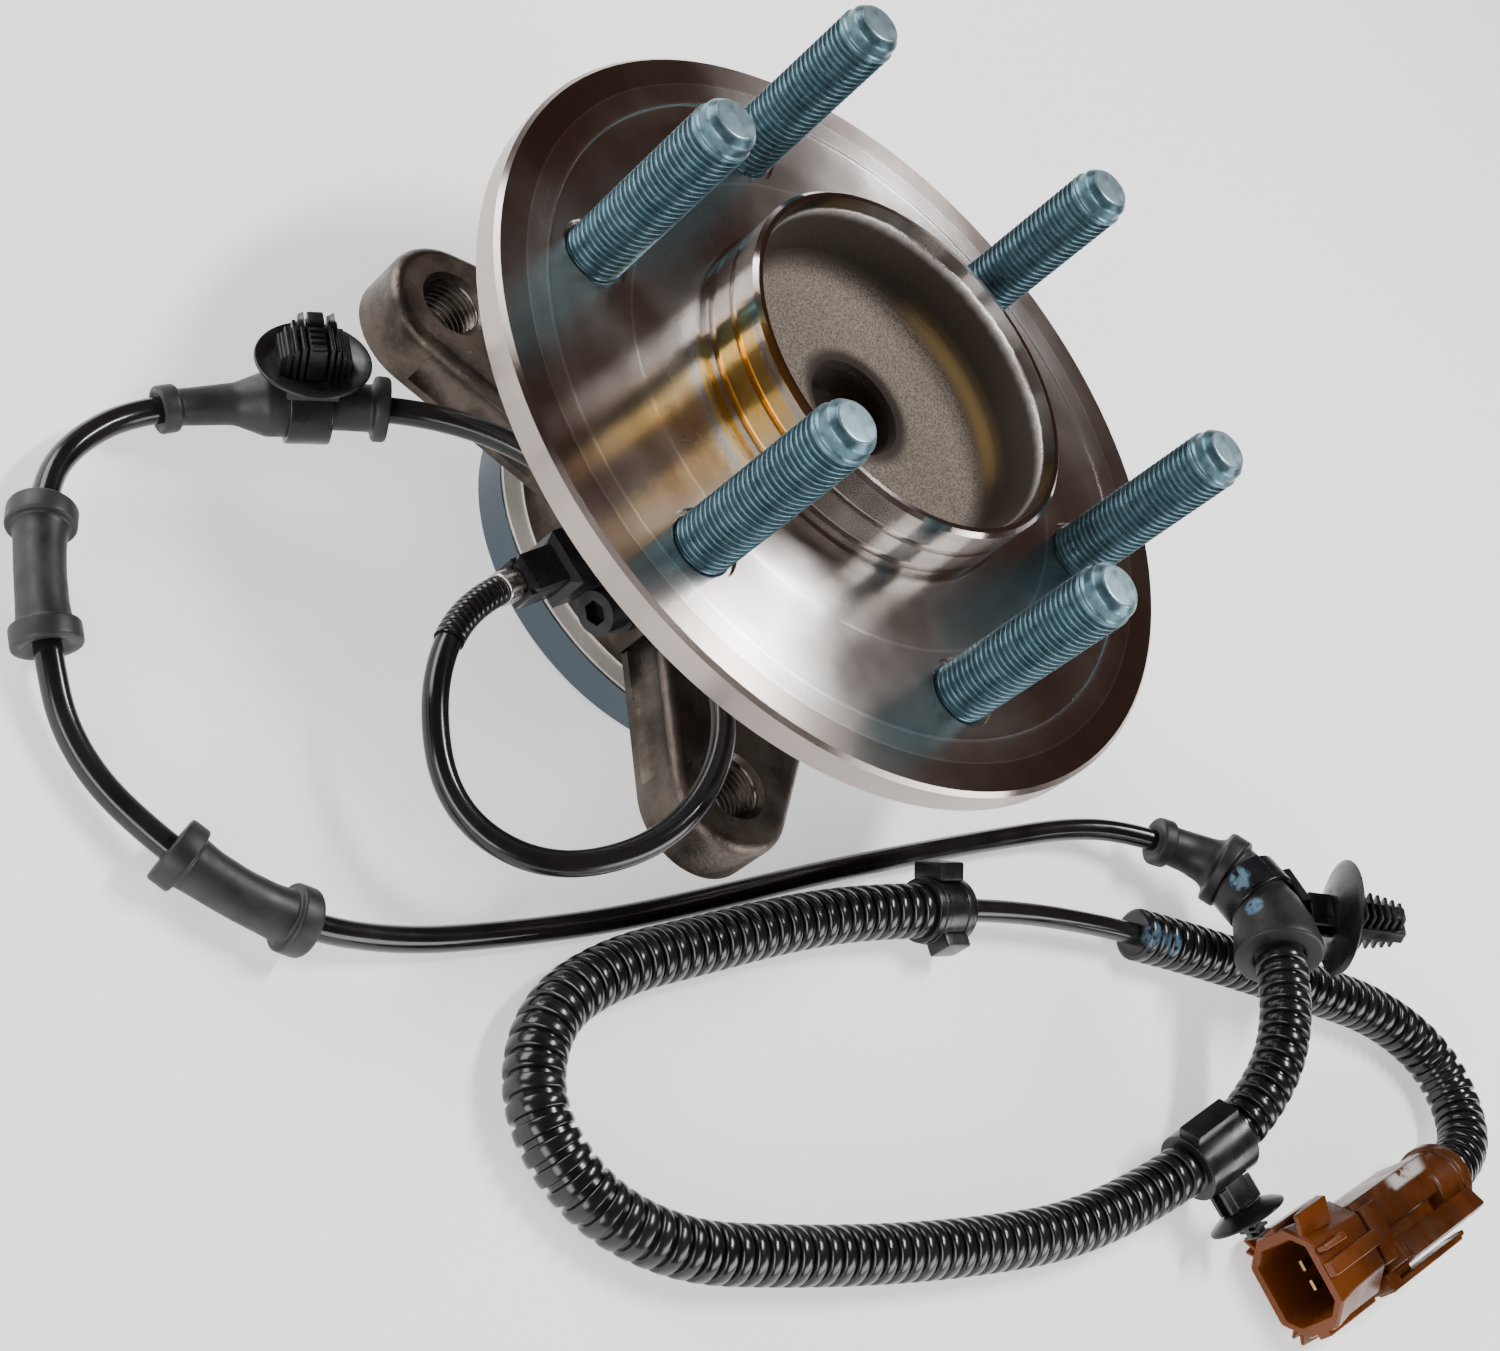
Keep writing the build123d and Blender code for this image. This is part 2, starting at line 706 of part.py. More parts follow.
def make_boot():
    """Curved rubber boot: collared neck, rib, body and the bell that takes the conduit."""
    radii = bend_radii(boot_route)
    path = FilletPolyline(*boot_route, radius=radii)
    start = run_plane(boot_route, 0, 0.0)
    rib = run_plane(boot_route, 1, 0.3)
    end = run_plane(boot_route, len(boot_route) - 2, 1.0)
    solid = sweep(start * Circle(boot_neck_radius), path=path)
    solid += start * Pos(0, 0, boot_neck_collar_width / 2) * Cylinder(
        boot_neck_collar_radius, boot_neck_collar_width)
    solid += rib * Cylinder(boot_rib_radius, boot_rib_width)
    body_path = FilletPolyline(*boot_route[1:], radius=radii[1:])
    body = sweep(run_plane(boot_route, 1, 0.0) * Circle(boot_body_radius), path=body_path)
    solid += body - rib * Pos(0, 0, -boot_body_radius * 2) * Cylinder(
        boot_rib_radius * 1.2, boot_body_radius * 4)
    solid += end * Pos(0, 0, -boot_lip_width - boot_bell_length / 2) * Cone(
        boot_bell_start_radius, boot_bell_radius, boot_bell_length)
    return solid + end * Pos(0, 0, -boot_lip_width / 2) * Cylinder(boot_bell_radius, boot_lip_width)


def push_clip(inner, wall, width, stem_length, disc_radius, pin_radius, pin_length):
    """Strap round a hose along Z, with a stem, a disc and a push-in pin on its +X side."""
    outer = inner + wall
    disc_low = outer + stem_length
    disc_high = disc_low + clip_disc_thickness
    tip_radius = pin_radius * clip_pin_taper
    strap = Cylinder(outer, width) - Cylinder(inner, width + 1)
    stem = radial_cylinder(clip_stem_radius, outer - wall / 2, disc_low)
    disc = radial_cylinder(disc_radius, disc_low, disc_high)
    pin = Pos(disc_high + pin_length / 2, 0, 0) * Rot(0, 90, 0) * Cone(
        pin_radius, tip_radius, pin_length)
    return strap + stem + disc + pin


def make_boot_clip(boot):
    place = run_plane(boot_route, boot_clip_run_index, boot_clip_share, boot_clip_side)
    clip = push_clip(boot_body_radius + strap_clearance, boot_clip_wall, boot_clip_width,
                     boot_clip_stem_length, boot_clip_disc_radius, boot_clip_pin_radius,
                     boot_clip_pin_length)
    return place * clip - boot


def make_conduit_clip(conduit):
    place = run_plane(conduit_route, conduit_clip_run_index, conduit_clip_share,
                      conduit_clip_side)
    clip = push_clip(conduit_radius + strap_clearance, conduit_clip_wall, conduit_clip_width,
                     conduit_clip_stem_length, conduit_clip_disc_radius,
                     conduit_clip_pin_radius, conduit_clip_pin_length)
    return place * clip - conduit


def make_conduit_end_clip(conduit):
    """Retainer that closes the long conduit on the link cable, with a lug and a boss."""
    last = len(conduit_route) - 2
    centre = Pos(0, 0, -end_clip_length / 2)
    outer = conduit_radius + end_clip_wall
    solid = run_plane(conduit_route, last, 1.0) * centre * (Cylinder(
        outer, end_clip_length) - Cylinder(conduit_radius + strap_clearance, end_clip_length + 1))
    for side, (depth, width, height) in ((end_clip_side, end_clip_lug),
                                         (end_clip_boss_side, end_clip_boss)):
        block = Pos(outer - end_clip_wall / 2 + depth / 2, 0, 0) * Box(depth, width, height)
        solid += run_plane(conduit_route, last, 1.0, side) * centre * block
    return solid - conduit


# ---- connector -------------------------------------------------------------------------
def connector_plane():
    """Plane at the short conduit's end: +Z into the connector, +X up."""
    return run_plane(short_conduit_route, len(short_conduit_route) - 2, 1.0)


def cut_corner_block(height, width, length, corner):
    """Block along Z with its four long corners cut, which makes an eight-sided section."""
    block = Box(height, width, length)
    return chamfer(block.edges().filter_by(Axis.Z), corner)


def make_neck():
    collar = Pos(0, 0, plug_collar_length / 2) * Cylinder(plug_collar_radius, plug_collar_length)
    return collar + Pos(0, 0, plug_neck_length / 2) * Cylinder(plug_neck_radius, plug_neck_length)


def make_shroud():
    """Eight-sided shroud with a keying rail on each of its three upper sides."""
    centre = Pos(0, 0, plug_top - shroud_length / 2)
    shroud = centre * cut_corner_block(shroud_height, shroud_width, shroud_length, shroud_corner)
    rail = Box(rail_depth * 2, rail_width, shroud_length)
    shroud += centre * Pos(shroud_height / 2, 0, 0) * rail
    for side in (-1, 1):
        shroud += centre * Pos(0, side * shroud_width / 2, 0) * Rot(0, 0, 90) * rail
    return shroud


def make_connector():
    """Two-way housing: neck, body, shroud and the open socket."""
    body = Pos(0, 0, plug_neck_length + body_length / 2) * Box(
        body_height, body_width, body_length)
    solid = make_neck() + fillet(body.edges().filter_by(Axis.Z), body_edge_radius) + make_shroud()
    solid -= Pos(0, 0, plug_top - socket_depth / 2) * cut_corner_block(
        socket_height, socket_width, socket_depth, socket_corner)
    for side in (-1, 1):
        root = plug_top - socket_depth - terminal_root / 2
        solid -= Pos(0, side * terminal_spacing / 2, root) * Box(
            terminal_thickness + 2 * terminal_clearance,
            terminal_width + 2 * terminal_clearance, terminal_root)
    return connector_plane() * solid


def make_terminals():
    """Two blade terminals standing in the socket."""
    middle = plug_top - socket_depth + (terminal_reach - terminal_root) / 2
    blade = Box(terminal_thickness, terminal_width, terminal_reach + terminal_root)
    return Compound([connector_plane() * Pos(0, side * terminal_spacing / 2, middle) * blade
                     for side in (-1, 1)])


def make_connector_lock():
    """Sliding position-assurance lock on the body's side."""
    height, depth, length = lock_rail
    rail = Pos(0, -(body_width + depth) / 2 - lock_seat, lock_station)
    return connector_plane() * rail * Box(height, depth, length)


def export(name, shape):
    export_step(shape, os.path.join("parts", name + ".step"))


def main():
    os.makedirs("parts", exist_ok=True)
    inner_shoulder = inner_land_radius
    slinger_high = flange_back_z - neck_fillet - 0.4
    outboard_high = ring_high_z - seal_recess
    outboard_low = outboard_high - seal_width
    inboard_low = inboard_seal_recess
    inboard_high = inboard_low + seal_width
    bore = cable_bore()
    cable = tube(cable_route, cable_radius)
    conduit = tube(conduit_route, conduit_radius)
    link = tube(link_route, cable_radius)
    boot = make_boot()
    short_conduit = tube(short_conduit_route, short_conduit_radius)
    report_cord("sensor_cable", cable, cable_route, cable_radius)
    report_cord("long_conduit", conduit, conduit_route, conduit_radius)
    report_cord("link_cable", link, link_route, cable_radius)
    report_cord("short_conduit", short_conduit, short_conduit_route, short_conduit_radius)
    parts = {
        "wheel_hub": make_hub(),
        "wheel_studs": make_studs(),
        "inner_ring": make_inner_ring(),
        "tone_ring": make_tone_ring(),
        "balls_outboard": make_balls(row_outboard_z),
        "balls_inboard": make_balls(row_inboard_z),
        "cage_outboard": make_cage(row_outboard_z),
        "cage_inboard": make_cage(row_inboard_z),
        "outer_ring": make_outer_ring(),
        "seal_case_outboard": make_seal_case(outboard_low, outboard_high),
        "seal_case_inboard": make_seal_case(inboard_low, inboard_high),
        "seal_lip_outboard": make_seal_lip(outboard_low, outboard_high, neck_radius + slinger_wall),
        "seal_lip_inboard": make_seal_lip(inboard_low, inboard_high, inner_shoulder + slinger_wall),
        "slinger_outboard": make_slinger(neck_radius, slinger_wall, neck_step_z, slinger_high),
        "slinger_inboard": make_slinger(inner_shoulder, slinger_wall, inner_ring_low_z, inboard_high),
        "speed_sensor": make_sensor(),
        "sensor_oring": make_sensor_oring(),
        "sensor_bushing": make_sensor_bushing(),
        "sensor_bolt": make_sensor_bolt(),
        "sensor_cable": cable,
        "bracket_grommet": make_bracket_grommet(bore),
        "bracket_clip": make_bracket_clip(),
        "spool_grommet_a": make_spool(spool_run_indices[0], bore),
        "spool_grommet_b": make_spool(spool_run_indices[1], bore),
        "conduit_boot": boot,
        "boot_clip": make_boot_clip(boot),
        "long_conduit": conduit,
        "conduit_clip": make_conduit_clip(conduit),
        "conduit_end_clip": make_conduit_end_clip(conduit),
        "link_cable": link,
        "short_conduit": short_conduit,
        "connector_housing": make_connector(),
        "connector_lock": make_connector_lock(),
        "connector_terminals": make_terminals(),
    }
    for name, shape in parts.items():
        export(name, shape)


main()
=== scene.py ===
import math
import bpy
import bmesh
from mathutils import Matrix, Vector


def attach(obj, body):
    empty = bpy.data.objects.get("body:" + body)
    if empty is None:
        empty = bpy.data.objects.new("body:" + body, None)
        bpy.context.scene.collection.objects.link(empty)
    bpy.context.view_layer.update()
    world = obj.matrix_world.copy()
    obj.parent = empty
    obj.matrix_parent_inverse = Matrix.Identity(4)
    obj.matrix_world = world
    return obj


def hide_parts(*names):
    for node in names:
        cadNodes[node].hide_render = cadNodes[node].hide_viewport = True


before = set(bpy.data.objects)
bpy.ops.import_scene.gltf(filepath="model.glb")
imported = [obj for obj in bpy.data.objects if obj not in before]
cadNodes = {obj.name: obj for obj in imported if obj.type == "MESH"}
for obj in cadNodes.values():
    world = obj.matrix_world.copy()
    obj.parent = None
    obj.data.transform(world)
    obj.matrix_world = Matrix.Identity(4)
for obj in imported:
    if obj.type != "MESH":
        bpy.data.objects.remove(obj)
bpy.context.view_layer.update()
print("frame loaded, nodes:", len(cadNodes))

# camera, floor and lights
view = {"place": (0.1136, -0.4869, 0.4123), "target": (0.0410, -0.0392, 0.0400), "roll": 53.75,
        "lens": 65.26}
floorLook = {"size": 6.0, "color": (0.93, 0.93, 0.93), "glow": 0.70, "height": -0.0008}
studio = [
    # name, place, target, width, height, power, roll
    ("streakStrip", (0.076, 0.417, 0.976), (0, 0, 0.07), 0.11, 0.50, 11, 40),
    ("leftBank", (-1.1, -0.35, 0.40), (0, 0, 0.05), 1.0, 0.5, 14, 0),
    ("frontBank", (0.15, -1.3, 0.38), (0.05, 0, 0.03), 1.3, 0.4, 14, 0),
    ("rightBank", (1.15, 0.25, 0.40), (0.1, 0, 0.03), 1.0, 0.5, 12, 0),
]
skyLook = {"horizon": (0.70, 0.70, 0.72), "middle": (0.048, 0.024, 0.016),
           "top": (0.064, 0.038, 0.029), "lowBand": (0.0, 0.12), "highBand": (0.5, 0.95),
           "strength": 1.0}


def aim(thing, target, roll=0.0):
    sight = Vector(target) - thing.location
    turn = sight.to_track_quat("-Z", "Y").to_matrix() @ Matrix.Rotation(math.radians(roll), 3, "Z")
    thing.rotation_euler = turn.to_euler()


def placeObject(name, data):
    item = bpy.data.objects.new(name, data)
    bpy.context.scene.collection.objects.link(item)
    return item


def addCamera():
    camera = placeObject("camera", bpy.data.cameras.new("camera"))
    camera.location = view["place"]
    camera.data.lens = view["lens"]
    camera.data.sensor_fit = "HORIZONTAL"
    camera.data.clip_start = 0.01
    aim(camera, view["target"], view["roll"])
    bpy.context.scene.camera = camera


def addLights():
    for name, place, target, width, height, power, roll in studio:
        lamp = bpy.data.lights.new(name, "AREA")
        lamp.shape = "RECTANGLE"
        lamp.size = width
        lamp.size_y = height
        lamp.energy = power
        holder = placeObject(name, lamp)
        holder.location = place
        aim(holder, target, roll)


# small helpers for node trees
def addNode(tree, kind, values=None, **settings):
    node = tree.nodes.new(kind)
    for key, value in settings.items():
        setattr(node, key, value)
    for socket, value in (values or {}).items():
        node.inputs[socket].default_value = value
    return node


def join(tree, source, target):
    tree.links.new(source, target)
    return target.node


def asColor(rgb):
    return (*rgb, 1.0)


def mathNode(tree, operation, first, second=None, third=None, clamp=False):
    node = addNode(tree, "ShaderNodeMath", operation=operation, use_clamp=clamp)
    for index, value in enumerate((first, second, third)):
        if value is None:
            continue
        if isinstance(value, (int, float)):
            node.inputs[index].default_value = value
        else:
            join(tree, value, node.inputs[index])
    return node.outputs[0]


def spread(tree, value, low, high, toLow=0.0, toHigh=1.0, smooth=True):
    node = addNode(tree, "ShaderNodeMapRange", {"From Min": low, "From Max": high,
                                               "To Min": toLow, "To Max": toHigh})
    if smooth:
        node.interpolation_type = "SMOOTHSTEP"
    join(tree, value, node.inputs["Value"])
    return node.outputs["Result"]


def blendColor(tree, share, first, second):
    node = addNode(tree, "ShaderNodeMix", data_type="RGBA")
    join(tree, share, node.inputs["Factor"])
    for socket, value in ((6, first), (7, second)):  # the mix node's two color inputs
        if isinstance(value, tuple):
            node.inputs[socket].default_value = asColor(value)
        else:
            join(tree, value, node.inputs[socket])
    return node.outputs[2]


def noiseNode(tree, vector, scale, detail=4.0, roughness=0.55):
    node = addNode(tree, "ShaderNodeTexNoise", {"Scale": scale, "Detail": detail,
                                               "Roughness": roughness})
    join(tree, vector, node.inputs["Vector"])
    return node.outputs["Fac"]


def mottle(tree, place, scale, detail, low, high, toLow=0.0, toHigh=1.0, roughness=0.55):
    # noise stretched between two levels
    return spread(tree, noiseNode(tree, place, scale, detail, roughness), low, high, toLow,
                  toHigh)


def vectorNode(tree, operation, vector, other=None):
    node = addNode(tree, "ShaderNodeVectorMath", operation=operation)
    join(tree, vector, node.inputs[0])
    if other is not None:
        node.inputs[1].default_value = other
    return node.outputs["Vector" if operation == "SUBTRACT" else "Value"]


def splitAxes(tree, vector):
    node = addNode(tree, "ShaderNodeSeparateXYZ")
    join(tree, vector, node.inputs[0])
    return node.outputs


def bumpNode(tree, height, strength, distance, normal=None):
    node = addNode(tree, "ShaderNodeBump", {"Strength": strength, "Distance": distance})
    join(tree, height, node.inputs["Height"])
    if normal is not None:
        join(tree, normal, node.inputs["Normal"])
    return node.outputs["Normal"]


def startMaterial(name, values):
    material = bpy.data.materials.new(name)
    material.use_nodes = True
    tree = material.node_tree
    shader = tree.nodes["Principled BSDF"]
    for socket, value in values.items():
        shader.inputs[socket].default_value = value
    place = addNode(tree, "ShaderNodeTexCoord").outputs["Object"]
    return material, tree, shader, place


def product(tree, *values):
    result = values[0]
    for value in values[1:]:
        result = mathNode(tree, "MULTIPLY", result, value)
    return result


def grainMaterial(name, look):
    # two tones, two gloss levels and a fine grain, all from noise in object space
    material, tree, shader, place = startMaterial(name, {
        "Metallic": look.get("metallic", 0.0), "Coat Weight": look.get("coat", 0.0),
        "Coat Roughness": look.get("coatRoughness", 0.1),
        "Specular IOR Level": look.get("specular", 0.5)})
    color = blendColor(tree, mottle(tree, place, look["patch"], 5.0, 0.35, 0.65), look["dark"],
                       look["light"])
    for spot, reach in look.get("reflectionSpots", ()):  # painted reflections: pale bluish spots round the listed points
        away = vectorNode(tree, "DISTANCE", place, spot)
        paintedReflection = product(tree, spread(tree, away, reach * 0.6, reach, 1.0, 0.0),
                      mottle(tree, place, 500.0, 3.0, 0.35, 0.55))
        color = blendColor(tree, paintedReflection, color, look["reflectionTone"])
    join(tree, color, shader.inputs["Base Color"])
    join(tree, mottle(tree, place, look["patch"] * 2.3, 3.0, 0.3, 0.7, *look["gloss"]),
         shader.inputs["Roughness"])
    grain = noiseNode(tree, place, look["grain"], 6.0, 0.6)
    join(tree, bumpNode(tree, grain, look["bump"], look["depth"]), shader.inputs["Normal"])
    return material


def axisCoordinates(tree, place):
    # distance from the hub axis, height, and the separate X and Y
    x, y, z = splitAxes(tree, place)
    square = mathNode(tree, "MULTIPLY_ADD", x, x, mathNode(tree, "MULTIPLY", y, y))
    return mathNode(tree, "SQRT", square), z, x, y


def addFloor():
    material, tree, shader, place = startMaterial("paper", {
        "Roughness": 0.75, "Specular IOR Level": 0.2, "Emission Color": asColor((1, 1, 1)),
        "Emission Strength": floorLook["glow"]})
    fibre = mottle(tree, place, 300.0, 4.0, 0.3, 0.7)
    paler = tuple(tone * 0.985 for tone in floorLook["color"])
    join(tree, blendColor(tree, fibre, paler, floorLook["color"]), shader.inputs["Base Color"])
    bpy.ops.mesh.primitive_plane_add(size=floorLook["size"])
    floor = bpy.context.object
    floor.name = "studioFloor"
    floor.location.z = floorLook["height"]
    floor.data.materials.append(material)


def addSky():
    world = bpy.data.worlds.new("studio")
    bpy.context.scene.world = world
    world.use_nodes = True
    tree = world.node_tree
    backdrop = tree.nodes["Background"]
    backdrop.inputs["Strength"].default_value = skyLook["strength"]
    around = addNode(tree, "ShaderNodeTexCoord").outputs["Generated"]
    rise = splitAxes(tree, around)["Z"]
    low = spread(tree, rise, *skyLook["lowBand"])
    high = spread(tree, rise, *skyLook["highBand"])
    lower = blendColor(tree, low, skyLook["horizon"], skyLook["middle"])
    join(tree, blendColor(tree, high, lower, skyLook["top"]), backdrop.inputs["Color"])


addCamera()
addLights()
addSky()
addFloor()
print("camera, lights and floor placed")

# finishes
cableFinish = grainMaterial("glossyJacket", {
    "dark": (0.006, 0.006, 0.007), "light": (0.012, 0.011, 0.011), "patch": 60.0, "grain": 900.0,
    "gloss": (0.14, 0.22), "bump": 0.02, "depth": 0.0001, "specular": 0.4})
conduitFinish = grainMaterial("corrugatedPlastic", {
    "dark": (0.006, 0.006, 0.007), "light": (0.013, 0.012, 0.012), "patch": 60.0, "grain": 1200.0,
    "gloss": (0.19, 0.25), "bump": 0.01, "depth": 0.0001, "specular": 0.45,
    # painted reflection spots: place, reach and tone
    "reflectionSpots": (((0.1362, 0.0800, 0.0120), 0.0040), ((0.1400, 0.0850, 0.0118), 0.0036)),
    "reflectionTone": (0.07, 0.12, 0.17)})
rubberFinish = grainMaterial("grommetRubber", {
    "dark": (0.010, 0.010, 0.011), "light": (0.021, 0.020, 0.022), "patch": 120.0, "grain": 2200.0,
    "gloss": (0.42, 0.56), "bump": 0.06, "depth": 0.0002, "specular": 0.4,
    # painted reflection spot: place, reach and tone
    "reflectionSpots": (((0.1431, 0.1021, 0.0275), 0.0032),), "reflectionTone": (0.10, 0.21, 0.32)})
clipFinish = grainMaterial("mouldedNylon", {
    "dark": (0.006, 0.006, 0.007), "light": (0.011, 0.011, 0.013), "patch": 90.0, "grain": 1500.0,
    "gloss": (0.22, 0.36), "bump": 0.04, "depth": 0.0001, "specular": 0.35,
    # painted reflection spot: place, reach and tone
    "reflectionSpots": (((0.1350, 0.1057, 0.0260), 0.0036),), "reflectionTone": (0.13, 0.22, 0.30)})
pressedFinish = grainMaterial("pressedSteel", {
    "dark": (0.35, 0.34, 0.33), "light": (0.5, 0.49, 0.48), "patch": 70.0, "grain": 1500.0,
    "gloss": (0.25, 0.4), "bump": 0.1, "depth": 0.0002, "metallic": 1.0})
boltFinish = grainMaterial("blackOxide", {
    "dark": (0.012, 0.012, 0.014), "light": (0.03, 0.03, 0.034), "patch": 150.0, "grain": 1500.0,
    "gloss": (0.3, 0.45), "bump": 0.1, "depth": 0.0002, "metallic": 0.6})
ballFinish = grainMaterial("groundSteel", {
    "dark": (0.62, 0.62, 0.63), "light": (0.72, 0.72, 0.73), "patch": 50.0, "grain": 800.0,
    "gloss": (0.06, 0.12), "bump": 0.02, "depth": 0.0001, "metallic": 1.0})
cageFinish = grainMaterial("cagePolyamide", {
    "dark": (0.10, 0.085, 0.06), "light": (0.16, 0.13, 0.10), "patch": 90.0, "grain": 1500.0,
    "gloss": (0.4, 0.55), "bump": 0.1, "depth": 0.0002})
tinFinish = grainMaterial("tinPlate", {
    "dark": (0.34, 0.20, 0.08), "light": (0.50, 0.31, 0.13), "patch": 200.0, "grain": 2500.0,
    "gloss": (0.2, 0.35), "bump": 0.05, "depth": 0.0001, "metallic": 1.0})
zincLook = {"dark": (0.050, 0.100, 0.124), "light": (0.105, 0.190, 0.228), "metallic": 0.75,
            "litEndTone": (0.30, 0.43, 0.49), "litEndHeight": (0.11795, 0.1183), "gloss": (0.26, 0.40)}


def makeZinc():
    # blue passivated zinc, with the end faces painted paler as a painted highlight where the tops
    # face the light
    look = zincLook
    material, tree, shader, place = startMaterial("blueZinc", {"Metallic": look["metallic"]})
    tone = mottle(tree, place, 420.0, 6.0, 0.3, 0.7, roughness=0.65)
    zinc = blendColor(tree, tone, look["dark"], look["light"])
    # painted highlight: the end faces lighter, as if lit from above
    end = product(tree, spread(tree, splitAxes(tree, place)["Z"], *look["litEndHeight"]),
                  mottle(tree, place, 700.0, 4.0, 0.2, 0.5, 0.6, 1.0))
    join(tree, blendColor(tree, end, zinc, look["litEndTone"]), shader.inputs["Base Color"])
    join(tree, mottle(tree, place, 400.0, 4.0, 0.3, 0.7, *look["gloss"]),
         shader.inputs["Roughness"])
    grain = noiseNode(tree, place, 2500.0, 4.0)
    join(tree, bumpNode(tree, grain, 0.08, 0.0001), shader.inputs["Normal"])
    return material


turnedLook = {
    "dark": (0.53, 0.485, 0.455), "light": (0.64, 0.605, 0.58), "anisotropic": 0.9,
    "roughness": (0.20, 0.28), "ringScale": 900.0, "ringDepth": 0.00002,
    "glintTone": (0.85, 0.83, 0.80),
    # painted highlights: bright lines along thin turned steps on the face: (radius, half width)
    "faceGlintLines": ((0.0815, 0.00035), (0.0870, 0.0002), (0.0600, 0.0002)),
    "forgedDark": (0.13, 0.105, 0.080), "forgedLight": (0.40, 0.34, 0.285),
    "forgedEdge": (0.0405, 0.0413), "forgedTop": (0.0938, 0.0950), "drilledEdge": (0.0130, 0.0165),
    "cupShade": (0.0335, 0.0388), "cupShadeTone": (0.040, 0.028, 0.019),
    # a painted highlight crescent in the cup's corner: radii, side and tone
    "crescentGlint": (0.0352, 0.0372, 0.0376, 0.0390), "crescentToward": 80.0,
    "crescentGlintTone": (0.42, 0.29, 0.12), "boreTone": (0.060, 0.045, 0.035),
    # the rim band's painted shade: radii and tone
    "rimShadeEdge": (0.0867, 0.0872), "paintedRimTone": (0.43, 0.37, 0.34),
    "barrelEdge": (0.0470, 0.0480), "barrelLow": (0.0728, 0.0738), "barrelPolish": -0.10,
    # gold glints on the barrel are painted highlights: tone, side, height, radius, sector and bands
    "goldGlintTone": (0.90, 0.58, 0.12), "goldToward": 258.0, "goldLow": (0.0712, 0.0725),
    "goldEdge": (0.0470, 0.0530), "goldSector": (0.90, 0.995), "goldBands": (0.36, 0.56),
    "sand": 1900.0, "crescentSector": (0.70, 0.98), "forgedMetal": -0.65, "forgedGloss": 0.34,
}


def toward(tree, x, y, radius, azimuth, sector):
    # a soft sector that looks towards one azimuth about the hub axis
    turn = math.radians(azimuth)
    reach = mathNode(tree, "MULTIPLY_ADD", y, math.sin(turn),
                     mathNode(tree, "MULTIPLY", x, math.cos(turn)))
    return spread(tree, mathNode(tree, "DIVIDE", reach, radius), *sector)


def castIron(tree, look, place, radius, x, y):
    sand = noiseNode(tree, place, look["sand"], 6.0, 0.7)
    cast = blendColor(tree, spread(tree, sand, 0.35, 0.65), look["forgedDark"],
                      look["forgedLight"])
    cast = blendColor(tree, spread(tree, radius, *look["cupShade"]), cast, look["cupShadeTone"])
    cast = blendColor(tree, spread(tree, radius, *look["drilledEdge"]), look["boreTone"], cast)
    # painted highlight: a golden crescent along the cup floor's corner on one side
    inner, innerFull, outerFull, outer = look["crescentGlint"]
    crescentGlint = product(tree, spread(tree, radius, inner, innerFull),
                       spread(tree, radius, outerFull, outer, 1.0, 0.0),
                       toward(tree, x, y, radius, look["crescentToward"], look["crescentSector"]))
    return sand, blendColor(tree, crescentGlint, cast, look["crescentGlintTone"])


